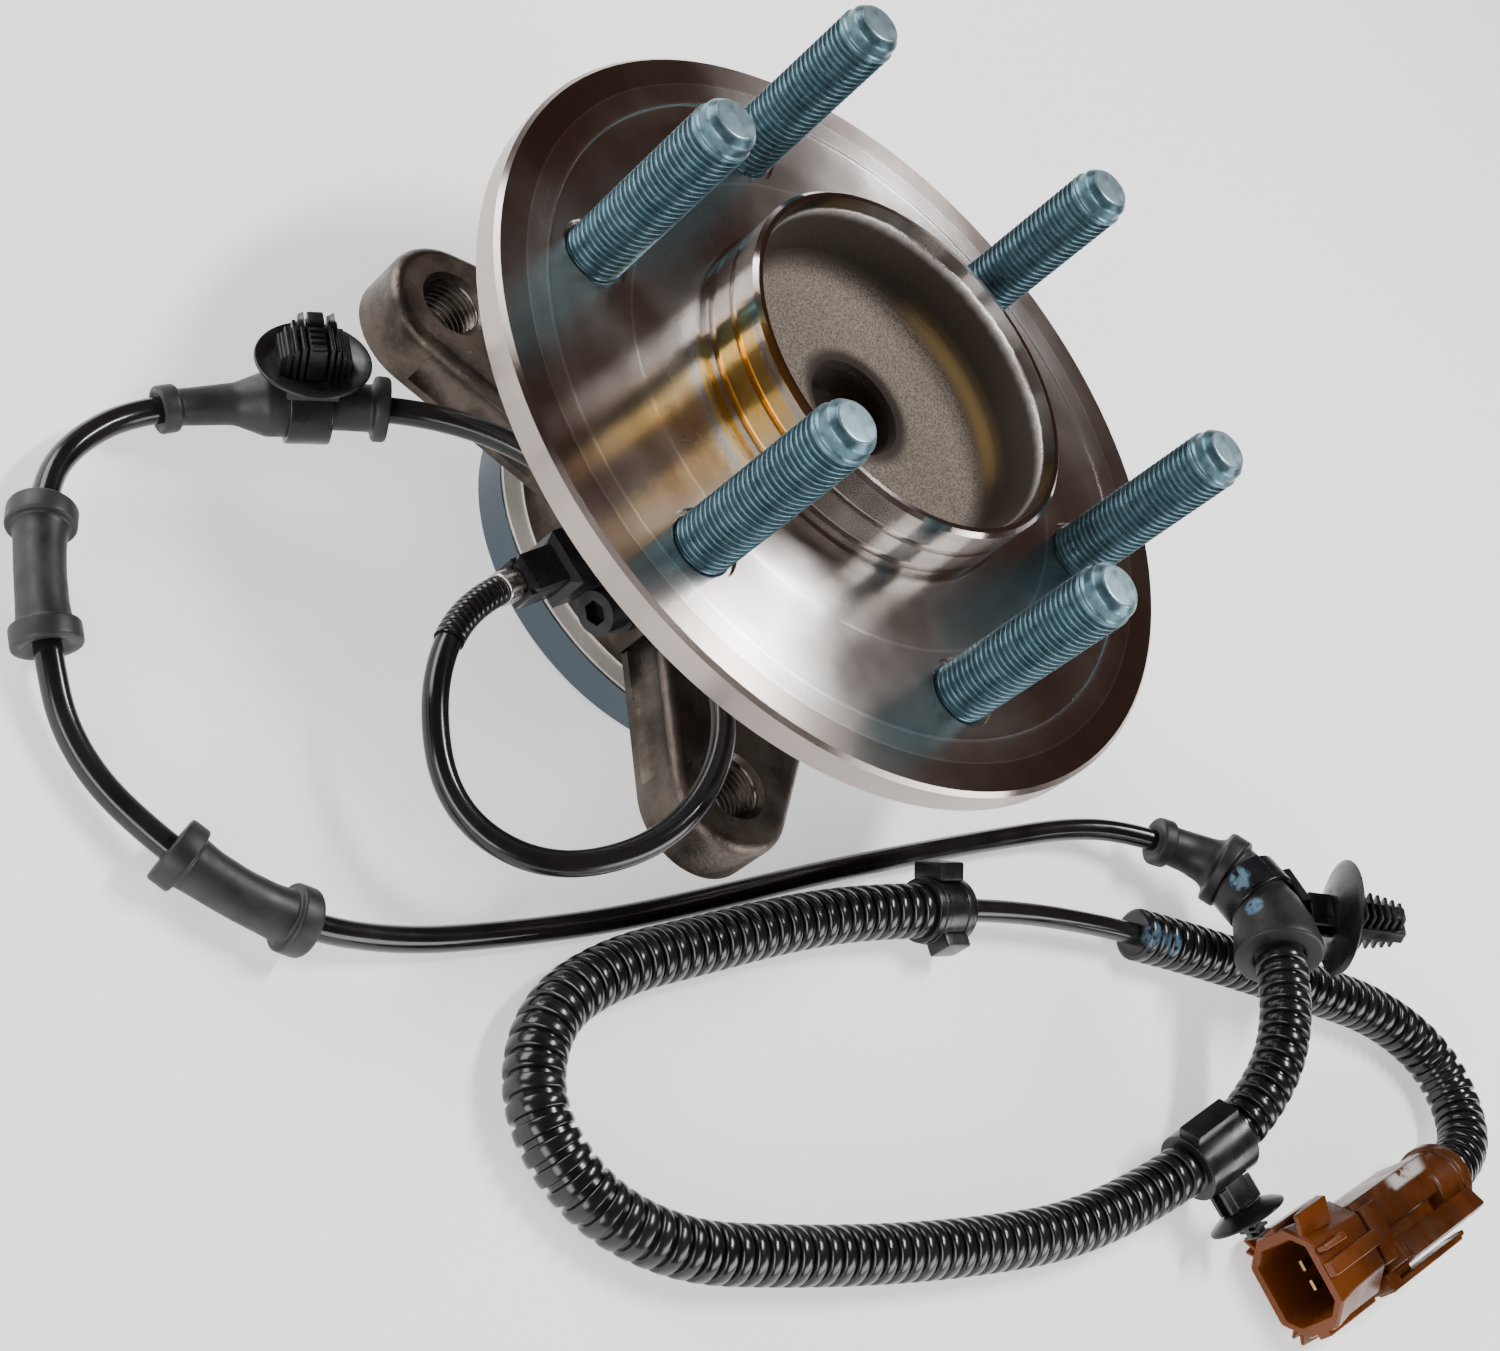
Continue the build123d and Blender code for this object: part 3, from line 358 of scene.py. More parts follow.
def makeTurnedSteel():
    look = turnedLook
    material, tree, shader, place = startMaterial("turnedSteel", {
        "Anisotropic": look["anisotropic"], "Anisotropic Rotation": 0.25})
    radius, height, x, y = axisCoordinates(tree, place)
    ringPlace = addNode(tree, "ShaderNodeCombineXYZ")
    join(tree, radius, ringPlace.inputs["X"])
    join(tree, height, ringPlace.inputs["Z"])
    rings = noiseNode(tree, ringPlace.outputs[0], look["ringScale"], 3.0, 0.7)
    bands = noiseNode(tree, ringPlace.outputs[0], 180.0, 3.0, 0.6)
    smears = noiseNode(tree, place, 28.0, 4.0, 0.6)
    oil = spread(tree, mathNode(tree, "MULTIPLY_ADD", bands, 0.6,
                                mathNode(tree, "MULTIPLY", smears, 0.4)), 0.35, 0.62)
    steel = blendColor(tree, oil, look["dark"], look["light"])
    paintedGlints = None
    # painted highlights: bright lines where thin steps on the face catch the light
    for arcRadius, half in look["faceGlintLines"]:
        offset = mathNode(tree, "ABSOLUTE", mathNode(tree, "SUBTRACT", radius, arcRadius))
        line = spread(tree, offset, half, half * 2.2, 1.0, 0.0)
        paintedGlints = line if paintedGlints is None else mathNode(tree, "MAXIMUM", paintedGlints, line)
    steel = blendColor(tree, paintedGlints, steel, look["glintTone"])
    # painted shade: the outer rim band darkened to stand in for a dimmer reflection
    steel = blendColor(tree, spread(tree, radius, *look["rimShadeEdge"]), steel, look["paintedRimTone"])
    # painted highlights: gold-tinted glints on the barrel, towards one side and in bands
    paintedGoldGlint = product(tree, spread(tree, radius, *look["goldEdge"], 1.0, 0.0),
                   spread(tree, height, *look["goldLow"]),
                   spread(tree, bands, *look["goldBands"]),
                   toward(tree, x, y, radius, look["goldToward"], look["goldSector"]))
    steel = blendColor(tree, paintedGoldGlint, steel, look["goldGlintTone"])
    sand, cast = castIron(tree, look, place, radius, x, y)
    forged = product(tree, spread(tree, radius, *look["forgedEdge"], 1.0, 0.0),
                     spread(tree, height, *look["forgedTop"], 1.0, 0.0))
    join(tree, blendColor(tree, forged, steel, cast), shader.inputs["Base Color"])
    join(tree, mathNode(tree, "MULTIPLY_ADD", forged, look["forgedMetal"], 1.0),
         shader.inputs["Metallic"])
    barrel = product(tree, spread(tree, radius, *look["barrelEdge"], 1.0, 0.0),
                     spread(tree, height, *look["barrelLow"]))
    gloss = spread(tree, smears, 0.3, 0.7, *look["roughness"])
    gloss = mathNode(tree, "MULTIPLY_ADD", barrel, look["barrelPolish"], gloss)
    gloss = mathNode(tree, "MULTIPLY_ADD", forged, look["forgedGloss"], gloss)
    join(tree, gloss, shader.inputs["Roughness"])
    turned = bumpNode(tree, product(tree, rings, mathNode(tree, "SUBTRACT", 1.0, forged)), 0.35,
                      look["ringDepth"])
    join(tree, bumpNode(tree, product(tree, sand, forged), 0.7, 0.0010, turned),
         shader.inputs["Normal"])
    around = addNode(tree, "ShaderNodeTangent", direction_type="RADIAL", axis="Z")
    join(tree, around.outputs[0], shader.inputs["Tangent"])
    return material


plugLook = {
    "neck": 0.0140, "collar": 0.0100, "neckRadius": 0.0091, "body": 0.0400,
    "bodySize": (0.0160, 0.0190), "shroud": 0.0240, "shroudSize": (0.0196, 0.0250),
    "corner": 0.0055, "socketSize": (0.0130, 0.0180), "socketCorner": 0.0030,
    "socketDepth": 0.0200,
    "axis": (-0.06438, -0.99793, 0.0), "mouth": (0.2245, 0.0582, 0.0103),
    "bodyDark": (0.048, 0.0125, 0.0022), "bodyLight": (0.088, 0.0235, 0.0040),
    "paintedRimTone": (0.130, 0.0330, 0.0045), "rimReach": (0.0, 0.022),
    "paintedHighlight": (0.42, 0.40, 0.38), "highlightAt": (0.2205, 0.1120, 0.0180),
    "highlightLength": (0.006, 0.011), "highlightWidth": (0.0012, 0.0024), "highlightGloss": 0.3,
    "gloss": (0.22, 0.36), "slotDepth": 0.0035, "overlap": 0.002,
    "ridge": 0.0060, "railWidth": 0.0040,
    # rails along the mouth's outside: turn about Z, axis of the size it stands on, height
    "rails": ((0, 0, 0.0022), (90, 1, 0.0020), (-90, 1, 0.0020)),
}


def makePlugPlastic():
    # brown nylon, painted lighter where the mouth's thin walls let light through, with a painted
    # highlight along one upper edge
    look = plugLook
    material, tree, shader, place = startMaterial("plugPlastic", {"Specular IOR Level": 0.3})
    tone = mottle(tree, place, 60.0, 4.0, 0.35, 0.65)
    brown = blendColor(tree, tone, look["bodyDark"], look["bodyLight"])
    fromMouth = vectorNode(tree, "SUBTRACT", place, look["mouth"])
    depth = mathNode(tree, "MULTIPLY", vectorNode(tree, "DOT_PRODUCT", fromMouth, look["axis"]),
                     -1.0)
    brown = blendColor(tree, spread(tree, depth, *look["rimReach"], 1.0, 0.0), brown,
                       look["paintedRimTone"])
    # painted highlight: a pale streak along the body's upper edge
    beside = vectorNode(tree, "SUBTRACT", place, look["highlightAt"])
    along = vectorNode(tree, "DOT_PRODUCT", beside, look["axis"])
    reach = vectorNode(tree, "LENGTH", beside)
    square = mathNode(tree, "MULTIPLY", reach, reach)
    across = mathNode(tree, "SQRT", mathNode(
        tree, "SUBTRACT", square, mathNode(tree, "MULTIPLY", along, along), clamp=True))
    paintedHighlight = product(tree, spread(tree, mathNode(tree, "ABSOLUTE", along), *look["highlightLength"],
                                 1.0, 0.0),
                    spread(tree, across, *look["highlightWidth"], 1.0, 0.0),
                    mottle(tree, place, 260.0, 4.0, 0.36, 0.5))
    join(tree, blendColor(tree, paintedHighlight, brown, look["paintedHighlight"]), shader.inputs["Base Color"])
    gloss = mottle(tree, place, 140.0, 3.0, 0.3, 0.7, *look["gloss"])
    join(tree, mathNode(tree, "MULTIPLY_ADD", paintedHighlight, look["highlightGloss"], gloss),
         shader.inputs["Roughness"])
    join(tree, bumpNode(tree, noiseNode(tree, place, 900.0, 3.0), 0.04, 0.0001),
         shader.inputs["Normal"])
    return material


ringLook = {"machined": (0.085, 0.105, 0.125), "pilotTop": (0.0108, 0.0112),
            "annulusLow": (0.0099, 0.0104), "annulusEdge": (0.0516, 0.0519),
            "faceReflectionTone": (0.95, 0.90, 0.84), "skinDark": (0.042, 0.034, 0.028),
            "skinLight": (0.125, 0.103, 0.085), "skinMetal": 0.95, "faceMetal": -0.80,
            "skinGloss": (0.27, 0.42), "machinedPolish": -0.07}


def makeRingForging():
    # forged skin; the knuckle pilot and its shoulder are machined, the shoulder's face painted
    # near-white as a painted reflection
    look = ringLook
    material, tree, shader, place = startMaterial("ringForging", {})
    radius, height = axisCoordinates(tree, place)[:2]
    tone = mottle(tree, place, 60.0, 6.0, 0.35, 0.65, roughness=0.65)
    skin = blendColor(tree, tone, look["skinDark"], look["skinLight"])
    low = spread(tree, height, *look["pilotTop"], 1.0, 0.0)
    # painted reflection: the machined annulus face painted near-white and nearly non-metal in place
    # of its bright silver reflection
    paintedFaceReflection = product(tree, low, spread(tree, height, *look["annulusLow"]),
                   spread(tree, radius, *look["annulusEdge"], 1.0, 0.0))
    steel = blendColor(tree, paintedFaceReflection, look["machined"], look["faceReflectionTone"])
    join(tree, blendColor(tree, low, skin, steel), shader.inputs["Base Color"])
    join(tree, mathNode(tree, "MULTIPLY_ADD", paintedFaceReflection, look["faceMetal"], look["skinMetal"]),
         shader.inputs["Metallic"])
    gloss = mottle(tree, place, 140.0, 3.0, 0.3, 0.7, *look["skinGloss"])
    join(tree, mathNode(tree, "MULTIPLY_ADD", low, look["machinedPolish"], gloss),
         shader.inputs["Roughness"])
    grain = noiseNode(tree, place, 850.0, 6.0, 0.65)
    grain = product(tree, grain, mathNode(tree, "SUBTRACT", 1.0, low))
    join(tree, bumpNode(tree, grain, 0.35, 0.0005), shader.inputs["Normal"])
    return material


crimpFinish = grainMaterial("crimpMetal", {
    "dark": (0.42, 0.41, 0.40), "light": (0.62, 0.61, 0.60), "patch": 220.0, "grain": 1500.0,
    "gloss": (0.2, 0.32), "bump": 0.04, "depth": 0.0001, "metallic": 1.0})
sealFinish = grainMaterial("blueSeal", {
    "dark": (0.010, 0.045, 0.20), "light": (0.016, 0.070, 0.30), "patch": 150.0, "grain": 1500.0,
    "gloss": (0.35, 0.5), "bump": 0.05, "depth": 0.0001})
threadFinish = grainMaterial("tappedSteel", {
    "dark": (0.05, 0.042, 0.035), "light": (0.16, 0.14, 0.12), "patch": 160.0, "grain": 1500.0,
    "gloss": (0.25, 0.4), "bump": 0.1, "depth": 0.0002, "metallic": 1.0})
plugFinish = makePlugPlastic()
zincFinish = makeZinc()
turnedFinish = makeTurnedSteel()
ringFinish = makeRingForging()
nodeFinishes = {
    "wheel_hub": turnedFinish, "wheel_studs": zincFinish, "outer_ring": ringFinish,
    "inner_ring": ballFinish, "tone_ring": pressedFinish, "balls_outboard": ballFinish,
    "balls_inboard": ballFinish, "cage_outboard": cageFinish, "cage_inboard": cageFinish,
    "seal_case_outboard": pressedFinish, "seal_case_inboard": pressedFinish,
    "seal_lip_outboard": rubberFinish, "seal_lip_inboard": rubberFinish,
    "slinger_outboard": pressedFinish, "slinger_inboard": pressedFinish,
    "speed_sensor": clipFinish, "sensor_oring": sealFinish, "sensor_bushing": pressedFinish,
    "sensor_bolt": boltFinish, "sensor_cable": cableFinish, "bracket_grommet": rubberFinish,
    "bracket_clip": clipFinish, "spool_grommet_a": rubberFinish, "spool_grommet_b": rubberFinish,
    "conduit_boot": rubberFinish, "boot_clip": clipFinish, "long_conduit": conduitFinish,
    "conduit_clip": clipFinish, "conduit_end_clip": clipFinish, "link_cable": cableFinish,
    "short_conduit": conduitFinish, "connector_housing": plugFinish,
    "connector_lock": plugFinish, "connector_terminals": tinFinish,
}
for name, finish in nodeFinishes.items():
    cadNodes[name].data.materials.clear()
    cadNodes[name].data.materials.append(finish)
print("finishes set on", len(nodeFinishes), "nodes")


# free cords: each follows its own route, in metres
cordLook = {"alongSteps": 16, "roundSteps": 8, "order": 3}


def addSpline(name, points, radius, finish):
    curve = bpy.data.curves.new(name, "CURVE")
    curve.dimensions = "3D"
    curve.resolution_u = cordLook["alongSteps"]
    spline = curve.splines.new("NURBS")
    spline.points.add(len(points) - 1)
    for knot, place in zip(spline.points, points):
        knot.co = (*place, 1.0)
    spline.order_u = cordLook["order"]
    spline.use_endpoint_u = True
    spline.resolution_u = cordLook["alongSteps"]
    curve.bevel_depth = radius
    curve.bevel_resolution = cordLook["roundSteps"]
    curve.use_fill_caps = True
    curve.materials.append(finish)
    return placeObject(name, curve)


def readLine(points):
    # the smooth line of a route, read from its own NURBS spline
    guide = addSpline("guide", points, 0.0, cableFinish)
    bpy.context.view_layer.update()
    depsgraph = bpy.context.evaluated_depsgraph_get()
    mesh = bpy.data.meshes.new_from_object(guide.evaluated_get(depsgraph))
    line = [vertex.co.copy() for vertex in mesh.vertices]
    bpy.data.meshes.remove(mesh)
    bpy.data.objects.remove(guide)
    return line


def measure(line):
    lengths = [0.0]
    for before, after in zip(line, line[1:]):
        lengths.append(lengths[-1] + (after - before).length)
    return lengths


def squareTo(side, axis):
    # the direction nearest to side that is square to axis
    return (side - axis * side.dot(axis)).normalized()


def axesAt(place, side, axis):
    return Matrix.Translation(place) @ Matrix(
        (side, axis.cross(side), axis)).transposed().to_4x4()


def frameLine(line):
    # a frame at each point: Z along the line, X carried along without twist
    frames = []
    side = Vector((0, 0, 1))
    for index, place in enumerate(line):
        ahead = line[min(index + 1, len(line) - 1)] - line[max(index - 1, 0)]
        axis = ahead.normalized()
        side = squareTo(side, axis)
        frames.append((place, side.copy(), axis.cross(side), axis))
    return frames


def frameAt(line, distance, up=None):
    lengths = measure(line)
    distance = min(max(distance, 0.0), lengths[-1])
    index = next(i for i in range(len(lengths) - 1) if lengths[i + 1] >= distance - 1e-9)
    share = (distance - lengths[index]) / (lengths[index + 1] - lengths[index])
    frames = frameLine(line)
    place = line[index].lerp(line[index + 1], share)
    axis = frames[index][3].lerp(frames[index + 1][3], share).normalized()
    side = Vector(up) if up else frames[index][1].lerp(frames[index + 1][1], share)
    return axesAt(place, squareTo(side, axis), axis)


routes = {
    "sensorCable": [
        (0.00204, -0.07797, 0.0295), (0.0025, -0.094, 0.0297), (0.017, -0.112, 0.0265),
        (0.0405, -0.119, 0.0215), (0.0605, -0.1075, 0.026), (0.0665, -0.0835, 0.037),
        (0.055, -0.0615, 0.0435), (0.033, -0.051, 0.0448), (0.01, -0.053, 0.044),
        (-0.01, -0.059, 0.043), (-0.029, -0.07, 0.0385), (-0.045, -0.0855, 0.0275),
        (-0.064, -0.1235, 0.0095), (-0.06, -0.1475, 0.0065), (-0.0465, -0.1615, 0.0075),
        (-0.024, -0.1735, 0.0075), (0, -0.179, 0.0035), (0.0275, -0.171, 0.0075),
        (0.047, -0.1545, 0.0075), (0.0575, -0.131, 0.004), (0.065, -0.104, 0.0029),
        (0.072, -0.075, 0.0029), (0.0775, -0.0435, 0.0029), (0.0828, -0.01, 0.0029),
        (0.089, 0.0235, 0.0029), (0.0955, 0.056, 0.0029), (0.1015, 0.08, 0.0052),
        (0.1085, 0.095, 0.0085), (0.1155, 0.103, 0.011),
    ],
    "boot": [
        (0.1155, 0.103, 0.011), (0.1247, 0.1135, 0.0143), (0.144, 0.1145, 0.0244),
        (0.157, 0.1015, 0.0265),
    ],
    "longConduit": [
        (0.157, 0.1015, 0.0265), (0.1728, 0.087, 0.0289), (0.186, 0.0625, 0.0195),
        (0.1865, 0.033, 0.009), (0.1825, 0.001, 0.0067), (0.173, -0.029, 0.0067),
        (0.1615, -0.059, 0.0067), (0.1495, -0.086, 0.0067), (0.138, -0.109, 0.0067),
        (0.1205, -0.124, 0.0067), (0.0985, -0.1255, 0.0067), (0.083, -0.1095, 0.0067),
        (0.081, -0.086, 0.0067), (0.0855, -0.0595, 0.0067), (0.09, -0.032, 0.0068),
        (0.0965, -0.005, 0.0072), (0.106, 0.021, 0.0083),
    ],
    "linkCable": [
        (0.106, 0.021, 0.0083), (0.1118, 0.0368, 0.0086), (0.1255, 0.0665, 0.0074),
        (0.133, 0.0793, 0.0071),
    ],
    "shortConduit": [
        (0.133, 0.0793, 0.0071), (0.1403, 0.0916, 0.007), (0.154, 0.1125, 0.007),
        (0.17, 0.136, 0.007), (0.1865, 0.159, 0.007), (0.205, 0.1705, 0.007),
        (0.222, 0.1665, 0.0078), (0.2305, 0.1515, 0.0103), (0.2295, 0.136, 0.0103),
    ],
}
cableRadius = 0.0028
conduitRadius = 0.0065
shortConduitRadius = 0.00675


# the angle in degrees from which an edge is shown sharp
hardCrease, plugCrease, ribCrease, softCrease = 35.0, 30.0, 55.0, 60.0


def finishMesh(mesh, finish, sharp=hardCrease):
    mesh.validate()
    for polygon in mesh.polygons:
        polygon.use_smooth = True
    mesh.set_sharp_from_angle(angle=math.radians(sharp))
    mesh.materials.append(finish)


def newPiece(name, mesh, finish, node=None, sharp=hardCrease):
    # a piece on the fixed body, shown in place of the named node if it has one
    finishMesh(mesh, finish, sharp)
    piece = placeObject(name, mesh)
    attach(piece, "root")
    if node:
        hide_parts(node)
    return piece


def softOutline(points, radius, steps=4):
    # rounds every inner corner of an outline
    soft = [Vector(points[0])]
    for before, corner, after in zip(points, points[1:], points[2:]):
        corner = Vector(corner)
        back = Vector(before) - corner
        ahead = Vector(after) - corner
        reach = min(radius, back.length * 0.45, ahead.length * 0.45)
        start = corner + back.normalized() * reach
        end = corner + ahead.normalized() * reach
        for step in range(steps + 1):
            t = step / steps
            soft.append(start * (1 - t) ** 2 + corner * 2 * t * (1 - t) + end * t * t)
    soft.append(Vector(points[-1]))
    return soft


def ringMesh(name, rings, closedEnds=True):
    # skins rings of points that all have the same count
    mesh = bpy.data.meshes.new(name)
    count = len(rings[0])
    points = [point for ring in rings for point in ring]
    faces = []
    for row in range(len(rings) - 1):
        low = row * count
        for column in range(count):
            after = (column + 1) % count
            faces.append((low + column, low + after, low + count + after, low + count + column))
    if closedEnds:
        faces.append(tuple(reversed(range(count))))
        faces.append(tuple(range((len(rings) - 1) * count, len(rings) * count)))
    mesh.from_pydata([tuple(point) for point in points], [], faces)
    return mesh


def sleeveRings(line, outline, segments=40):
    # outline: (distance along the line, radius)
    lengths = measure(line)
    frames = frameLine(line)
    rings = []
    index = 0
    for distance, radius in outline:
        distance = min(max(distance, 0.0), lengths[-1])
        while index < len(lengths) - 2 and lengths[index + 1] < distance:
            index += 1
        while index > 0 and lengths[index] > distance:
            index -= 1
        share = (distance - lengths[index]) / (lengths[index + 1] - lengths[index])
        place = line[index].lerp(line[index + 1], share)
        side = frames[index][1].lerp(frames[index + 1][1], share).normalized()
        other = frames[index][2].lerp(frames[index + 1][2], share).normalized()
        ring = []
        for step in range(segments):
            turn = 2 * math.pi * step / segments
            ring.append(place + (side * math.cos(turn) + other * math.sin(turn)) * radius)
        rings.append(ring)
    return rings


corrugation = {"pitch": 0.0040, "valley": 0.0012,
               # (share of the pitch, drop from the crest)
               "rib": ((0.00, 1.0), (0.12, 1.0), (0.18, 0.20), (0.25, 0.05), (0.50, 0.0),
                       (0.75, 0.05), (0.82, 0.20), (0.88, 1.0))}


def corrugatedOutline(length, radius):
    look = corrugation
    count = round(length / look["pitch"])
    pitch = length / count
    outline = [((index + share) * pitch, radius - drop * look["valley"])
               for index in range(count) for share, drop in look["rib"]]
    outline.append((length, radius - look["valley"]))
    return outline


def addConduit(name, radius, node):
    line = readLine(routes[name])
    length = measure(line)[-1]
    rings = sleeveRings(line, corrugatedOutline(length, radius), 44)
    piece = newPiece(name, ringMesh(name, rings), conduitFinish, node, sharp=ribCrease)
    return piece, line, length


sensorCable = addSpline("sensorCable", routes["sensorCable"], cableRadius, cableFinish)
linkCable = addSpline("linkCable", routes["linkCable"], cableRadius, cableFinish)
for piece, node in ((sensorCable, "sensor_cable"), (linkCable, "link_cable")):
    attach(piece, "root")
    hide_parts(node)
cableLine = readLine(routes["sensorCable"])
longConduit, longLine, longLength = addConduit("longConduit", conduitRadius, "long_conduit")
shortConduit, shortLine, shortLength = addConduit("shortConduit", shortConduitRadius,
                                                  "short_conduit")
linkLength = measure(readLine(routes["linkCable"]))[-1]

# wheel studs with real thread flanks
studLook = {"circle": 0.13970 / 2, "count": 6, "phase": 45.2, "bottom": 0.0570,
            "tip": 0.1184, "noseLength": 0.0042, "noseRadius": 0.0064, "endRadius": 0.0050,
            "major": 0.0070, "depth": 0.00080, "pitch": 0.0015, "segments": 64,
            "headRadius": 0.0095, "headTop": 0.0615, "knurl": 0.00728, "knurlTop": 0.0696,
            "core": 0.0030, "chamfer": 0.0008, "noseBevel": 0.0018, "tipBevel": 0.0004,
            "crease": 100.0}
threadLook = {"perTurn": 16, "crest": 0.10, "flank": 0.76}  # shares of half a pitch


def threadRings(low, high, look):
    # a single-start helical thread, cut in from its major radius and faded out at both ends
    pitch, segments = look["pitch"], look["segments"]
    rings = []
    steps = round((high - low) / pitch * threadLook["perTurn"])
    for row in range(steps + 1):
        height = low + (high - low) * row / steps
        strength = min(1.0, max(0.0, min(height - low, high - height) / pitch))
        ring = []
        for column in range(segments):
            turn = column / segments
            flank = abs((height / pitch - turn) % 1.0 - 0.5) * 2
            flank = min(1.0, max(0.0, (flank - threadLook["crest"]) / threadLook["flank"]))
            radius = look["major"] - look["depth"] * flank * strength
            angle = 2 * math.pi * turn
            ring.append(Vector((radius * math.cos(angle), radius * math.sin(angle), height)))
        rings.append(ring)
    return rings


def plainRing(radius, height, segments):
    return [Vector((radius * math.cos(2 * math.pi * step / segments),
                    radius * math.sin(2 * math.pi * step / segments), height))
            for step in range(segments)]


def makeStudMesh():
    look = studLook
    nose = look["tip"] - look["noseLength"]
    below = softOutline([(look["core"], look["bottom"]),
                         (look["headRadius"] - look["chamfer"], look["bottom"]),
                         (look["headRadius"], look["bottom"] + look["chamfer"]),
                         (look["headRadius"], look["headTop"]), (look["knurl"], look["headTop"]),
                         (look["knurl"], look["knurlTop"]), (look["major"], look["knurlTop"])],
                        0.0002)
    above = softOutline([(look["noseRadius"], nose), (look["noseRadius"], nose + 0.0002),
                         (look["noseRadius"] - 0.0001, look["tip"] - look["noseBevel"]),
                         (look["endRadius"] + 0.0001, look["tip"] - look["tipBevel"]),
                         (look["endRadius"] - 0.0003, look["tip"]),
                         (look["core"], look["tip"])], 0.0005)
    lowRings, highRings = ([plainRing(*point, look["segments"]) for point in outline]
                           for outline in (below, above))
    thread = threadRings(look["knurlTop"] + 0.0002, nose - 0.0003, look)
    return ringMesh("wheelStud", lowRings + thread + highRings)


def addStuds():
    look = studLook
    mesh = makeStudMesh()
    finishMesh(mesh, zincFinish, look["crease"])
    for index in range(look["count"]):
        turn = math.radians(look["phase"] + 360 * index / look["count"])
        piece = placeObject("wheelStud%d" % (index + 1), mesh)
        piece.location = (look["circle"] * math.cos(turn), look["circle"] * math.sin(turn), 0)
        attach(piece, "hub")
        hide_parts("wheel_studs")


addStuds()
print("studs threaded")


def spun(outline, segments=48):
    # a turned shape about local Z from (radius, height) points
    return ringMesh("part", [plainRing(radius, height, segments) for radius, height in outline])


def assemble(name, parts, mount=None):
    whole = bmesh.new()
    for mesh, place in parts:
        mesh.transform(place)
        whole.from_mesh(mesh)
        bpy.data.meshes.remove(mesh)
    bmesh.ops.recalc_face_normals(whole, faces=whole.faces)
    mesh = bpy.data.meshes.new(name)
    whole.to_mesh(mesh)
    whole.free()
    if mount is not None:
        mesh.transform(mount)
    return mesh


def roundedBlock(size, bevel=0.0006, taper=(1.0, 1.0)):
    # a block with eased edges; taper scales its top end in X and Y
    block = bmesh.new()
    bmesh.ops.create_cube(block, size=1.0)
    for vertex in block.verts:
        share = vertex.co.z + 0.5
        vertex.co.x *= size[0] * (1 + (taper[0] - 1) * share)
        vertex.co.y *= size[1] * (1 + (taper[1] - 1) * share)
        vertex.co.z *= size[2]
    bmesh.ops.bevel(block, geom=list(block.edges), offset=min(bevel, min(size) * 0.4),
                    segments=3, profile=0.6, affect="EDGES", clamp_overlap=True)
    mesh = bpy.data.meshes.new("block")
    block.to_mesh(mesh)
    block.free()
    return mesh


def shift(x=0.0, y=0.0, z=0.0):
    return Matrix.Translation((x, y, z))


def towardX():
    # turns a shape drawn along Z so that it runs along +X
    return Matrix.Rotation(math.radians(90), 4, "Y")


def turnZ(degrees):
    return Matrix.Rotation(math.radians(degrees), 4, "Z")


def nearestStation(line, place):
    lengths = measure(line)
    return min(zip(line, lengths), key=lambda pair: (pair[0] - Vector(place)).length)[1]


def softLine(points, radius=0.0006):
    return [(point[0], point[1]) for point in softOutline(points, radius)]


# rubber grommets on the sensor cable, each turned round the cable's own line
spoolLook = {
    "half": 0.0155, "waist": 0.0050, "soften": 0.0016,
    # (distance in from the end, radius), the same at both ends
    "end": [(0.0014, 0.0029), (0.0006, 0.0041), (0.0, 0.0051), (0.0, 0.0070), (0.0046, 0.0070),
            (0.0046, 0.0055), (0.0086, 0.0051)],
}
spools = {"spoolGrommetA": ("spool_grommet_a", 14), "spoolGrommetB": ("spool_grommet_b", 17)}


def midRun(route, index, share=0.5):
    return Vector(routes[route][index]).lerp(Vector(routes[route][index + 1]), share)


def addSleeve(name, node, line, outline, soften, segments=48):
    rings = sleeveRings(line, softLine(outline, soften), segments)
    return newPiece(name, ringMesh(name, rings), rubberFinish, node,
                    softCrease)


def addSpool(name, node, index):
    look = spoolLook
    station = nearestStation(cableLine, midRun("sensorCable", index))
    low, high = station - look["half"], station + look["half"]
    outline = [(low + along, radius) for along, radius in look["end"]]
    outline.append((station, look["waist"]))
    outline += [(high - along, radius) for along, radius in reversed(look["end"])]
    return addSleeve(name, node, cableLine, outline, look["soften"])


spoolPieces = [addSpool(name, node, index) for name, (node, index) in spools.items()]

bracketLook = {
    # (distance from the piece's middle, radius)
    "outline": [(-0.0242, 0.0029), (-0.0255, 0.0042), (-0.0255, 0.0069), (-0.0222, 0.0069),
                (-0.0220, 0.0050), (-0.0116, 0.0051), (-0.0104, 0.0066), (-0.0085, 0.0068),
                (0.0002, 0.0068), (0.0016, 0.0063), (0.0066, 0.0044), (0.0180, 0.0038),
                (0.0188, 0.0050), (0.0225, 0.0050), (0.0226, 0.0040), (0.0216, 0.0029)],
    "soften": 0.0012, "clipAt": -0.0085, "strapRadius": 0.0082, "strapWidth": 0.0090, "tilt": 14.0,
    "discRadius": 0.0122, "discAt": 0.0097, "rise": 0.0022, "block": (0.0086, 0.0110, 0.0150),
    "base": (0.0040, 0.0120, 0.0110), "wall": 0.0014, "plate": 0.0009, "rungs": 6,
    # shares of the block's depth, width and height; the horns and the tab are sizes
    "spine": (0.94, 1.0, 0.26), "core": (0.6, 0.72, 0.30),
    "horn": (0.0030, 0.0028, 0.0012), "tab": (0.0022, 0.0034, 0.0034),
    # (share of the block's height, share of its depth), lower towards the outer end
    "cheeks": ((0.19, 1.04), (0.28, 0.92), (0.37, 0.76), (0.46, 0.58)),
}


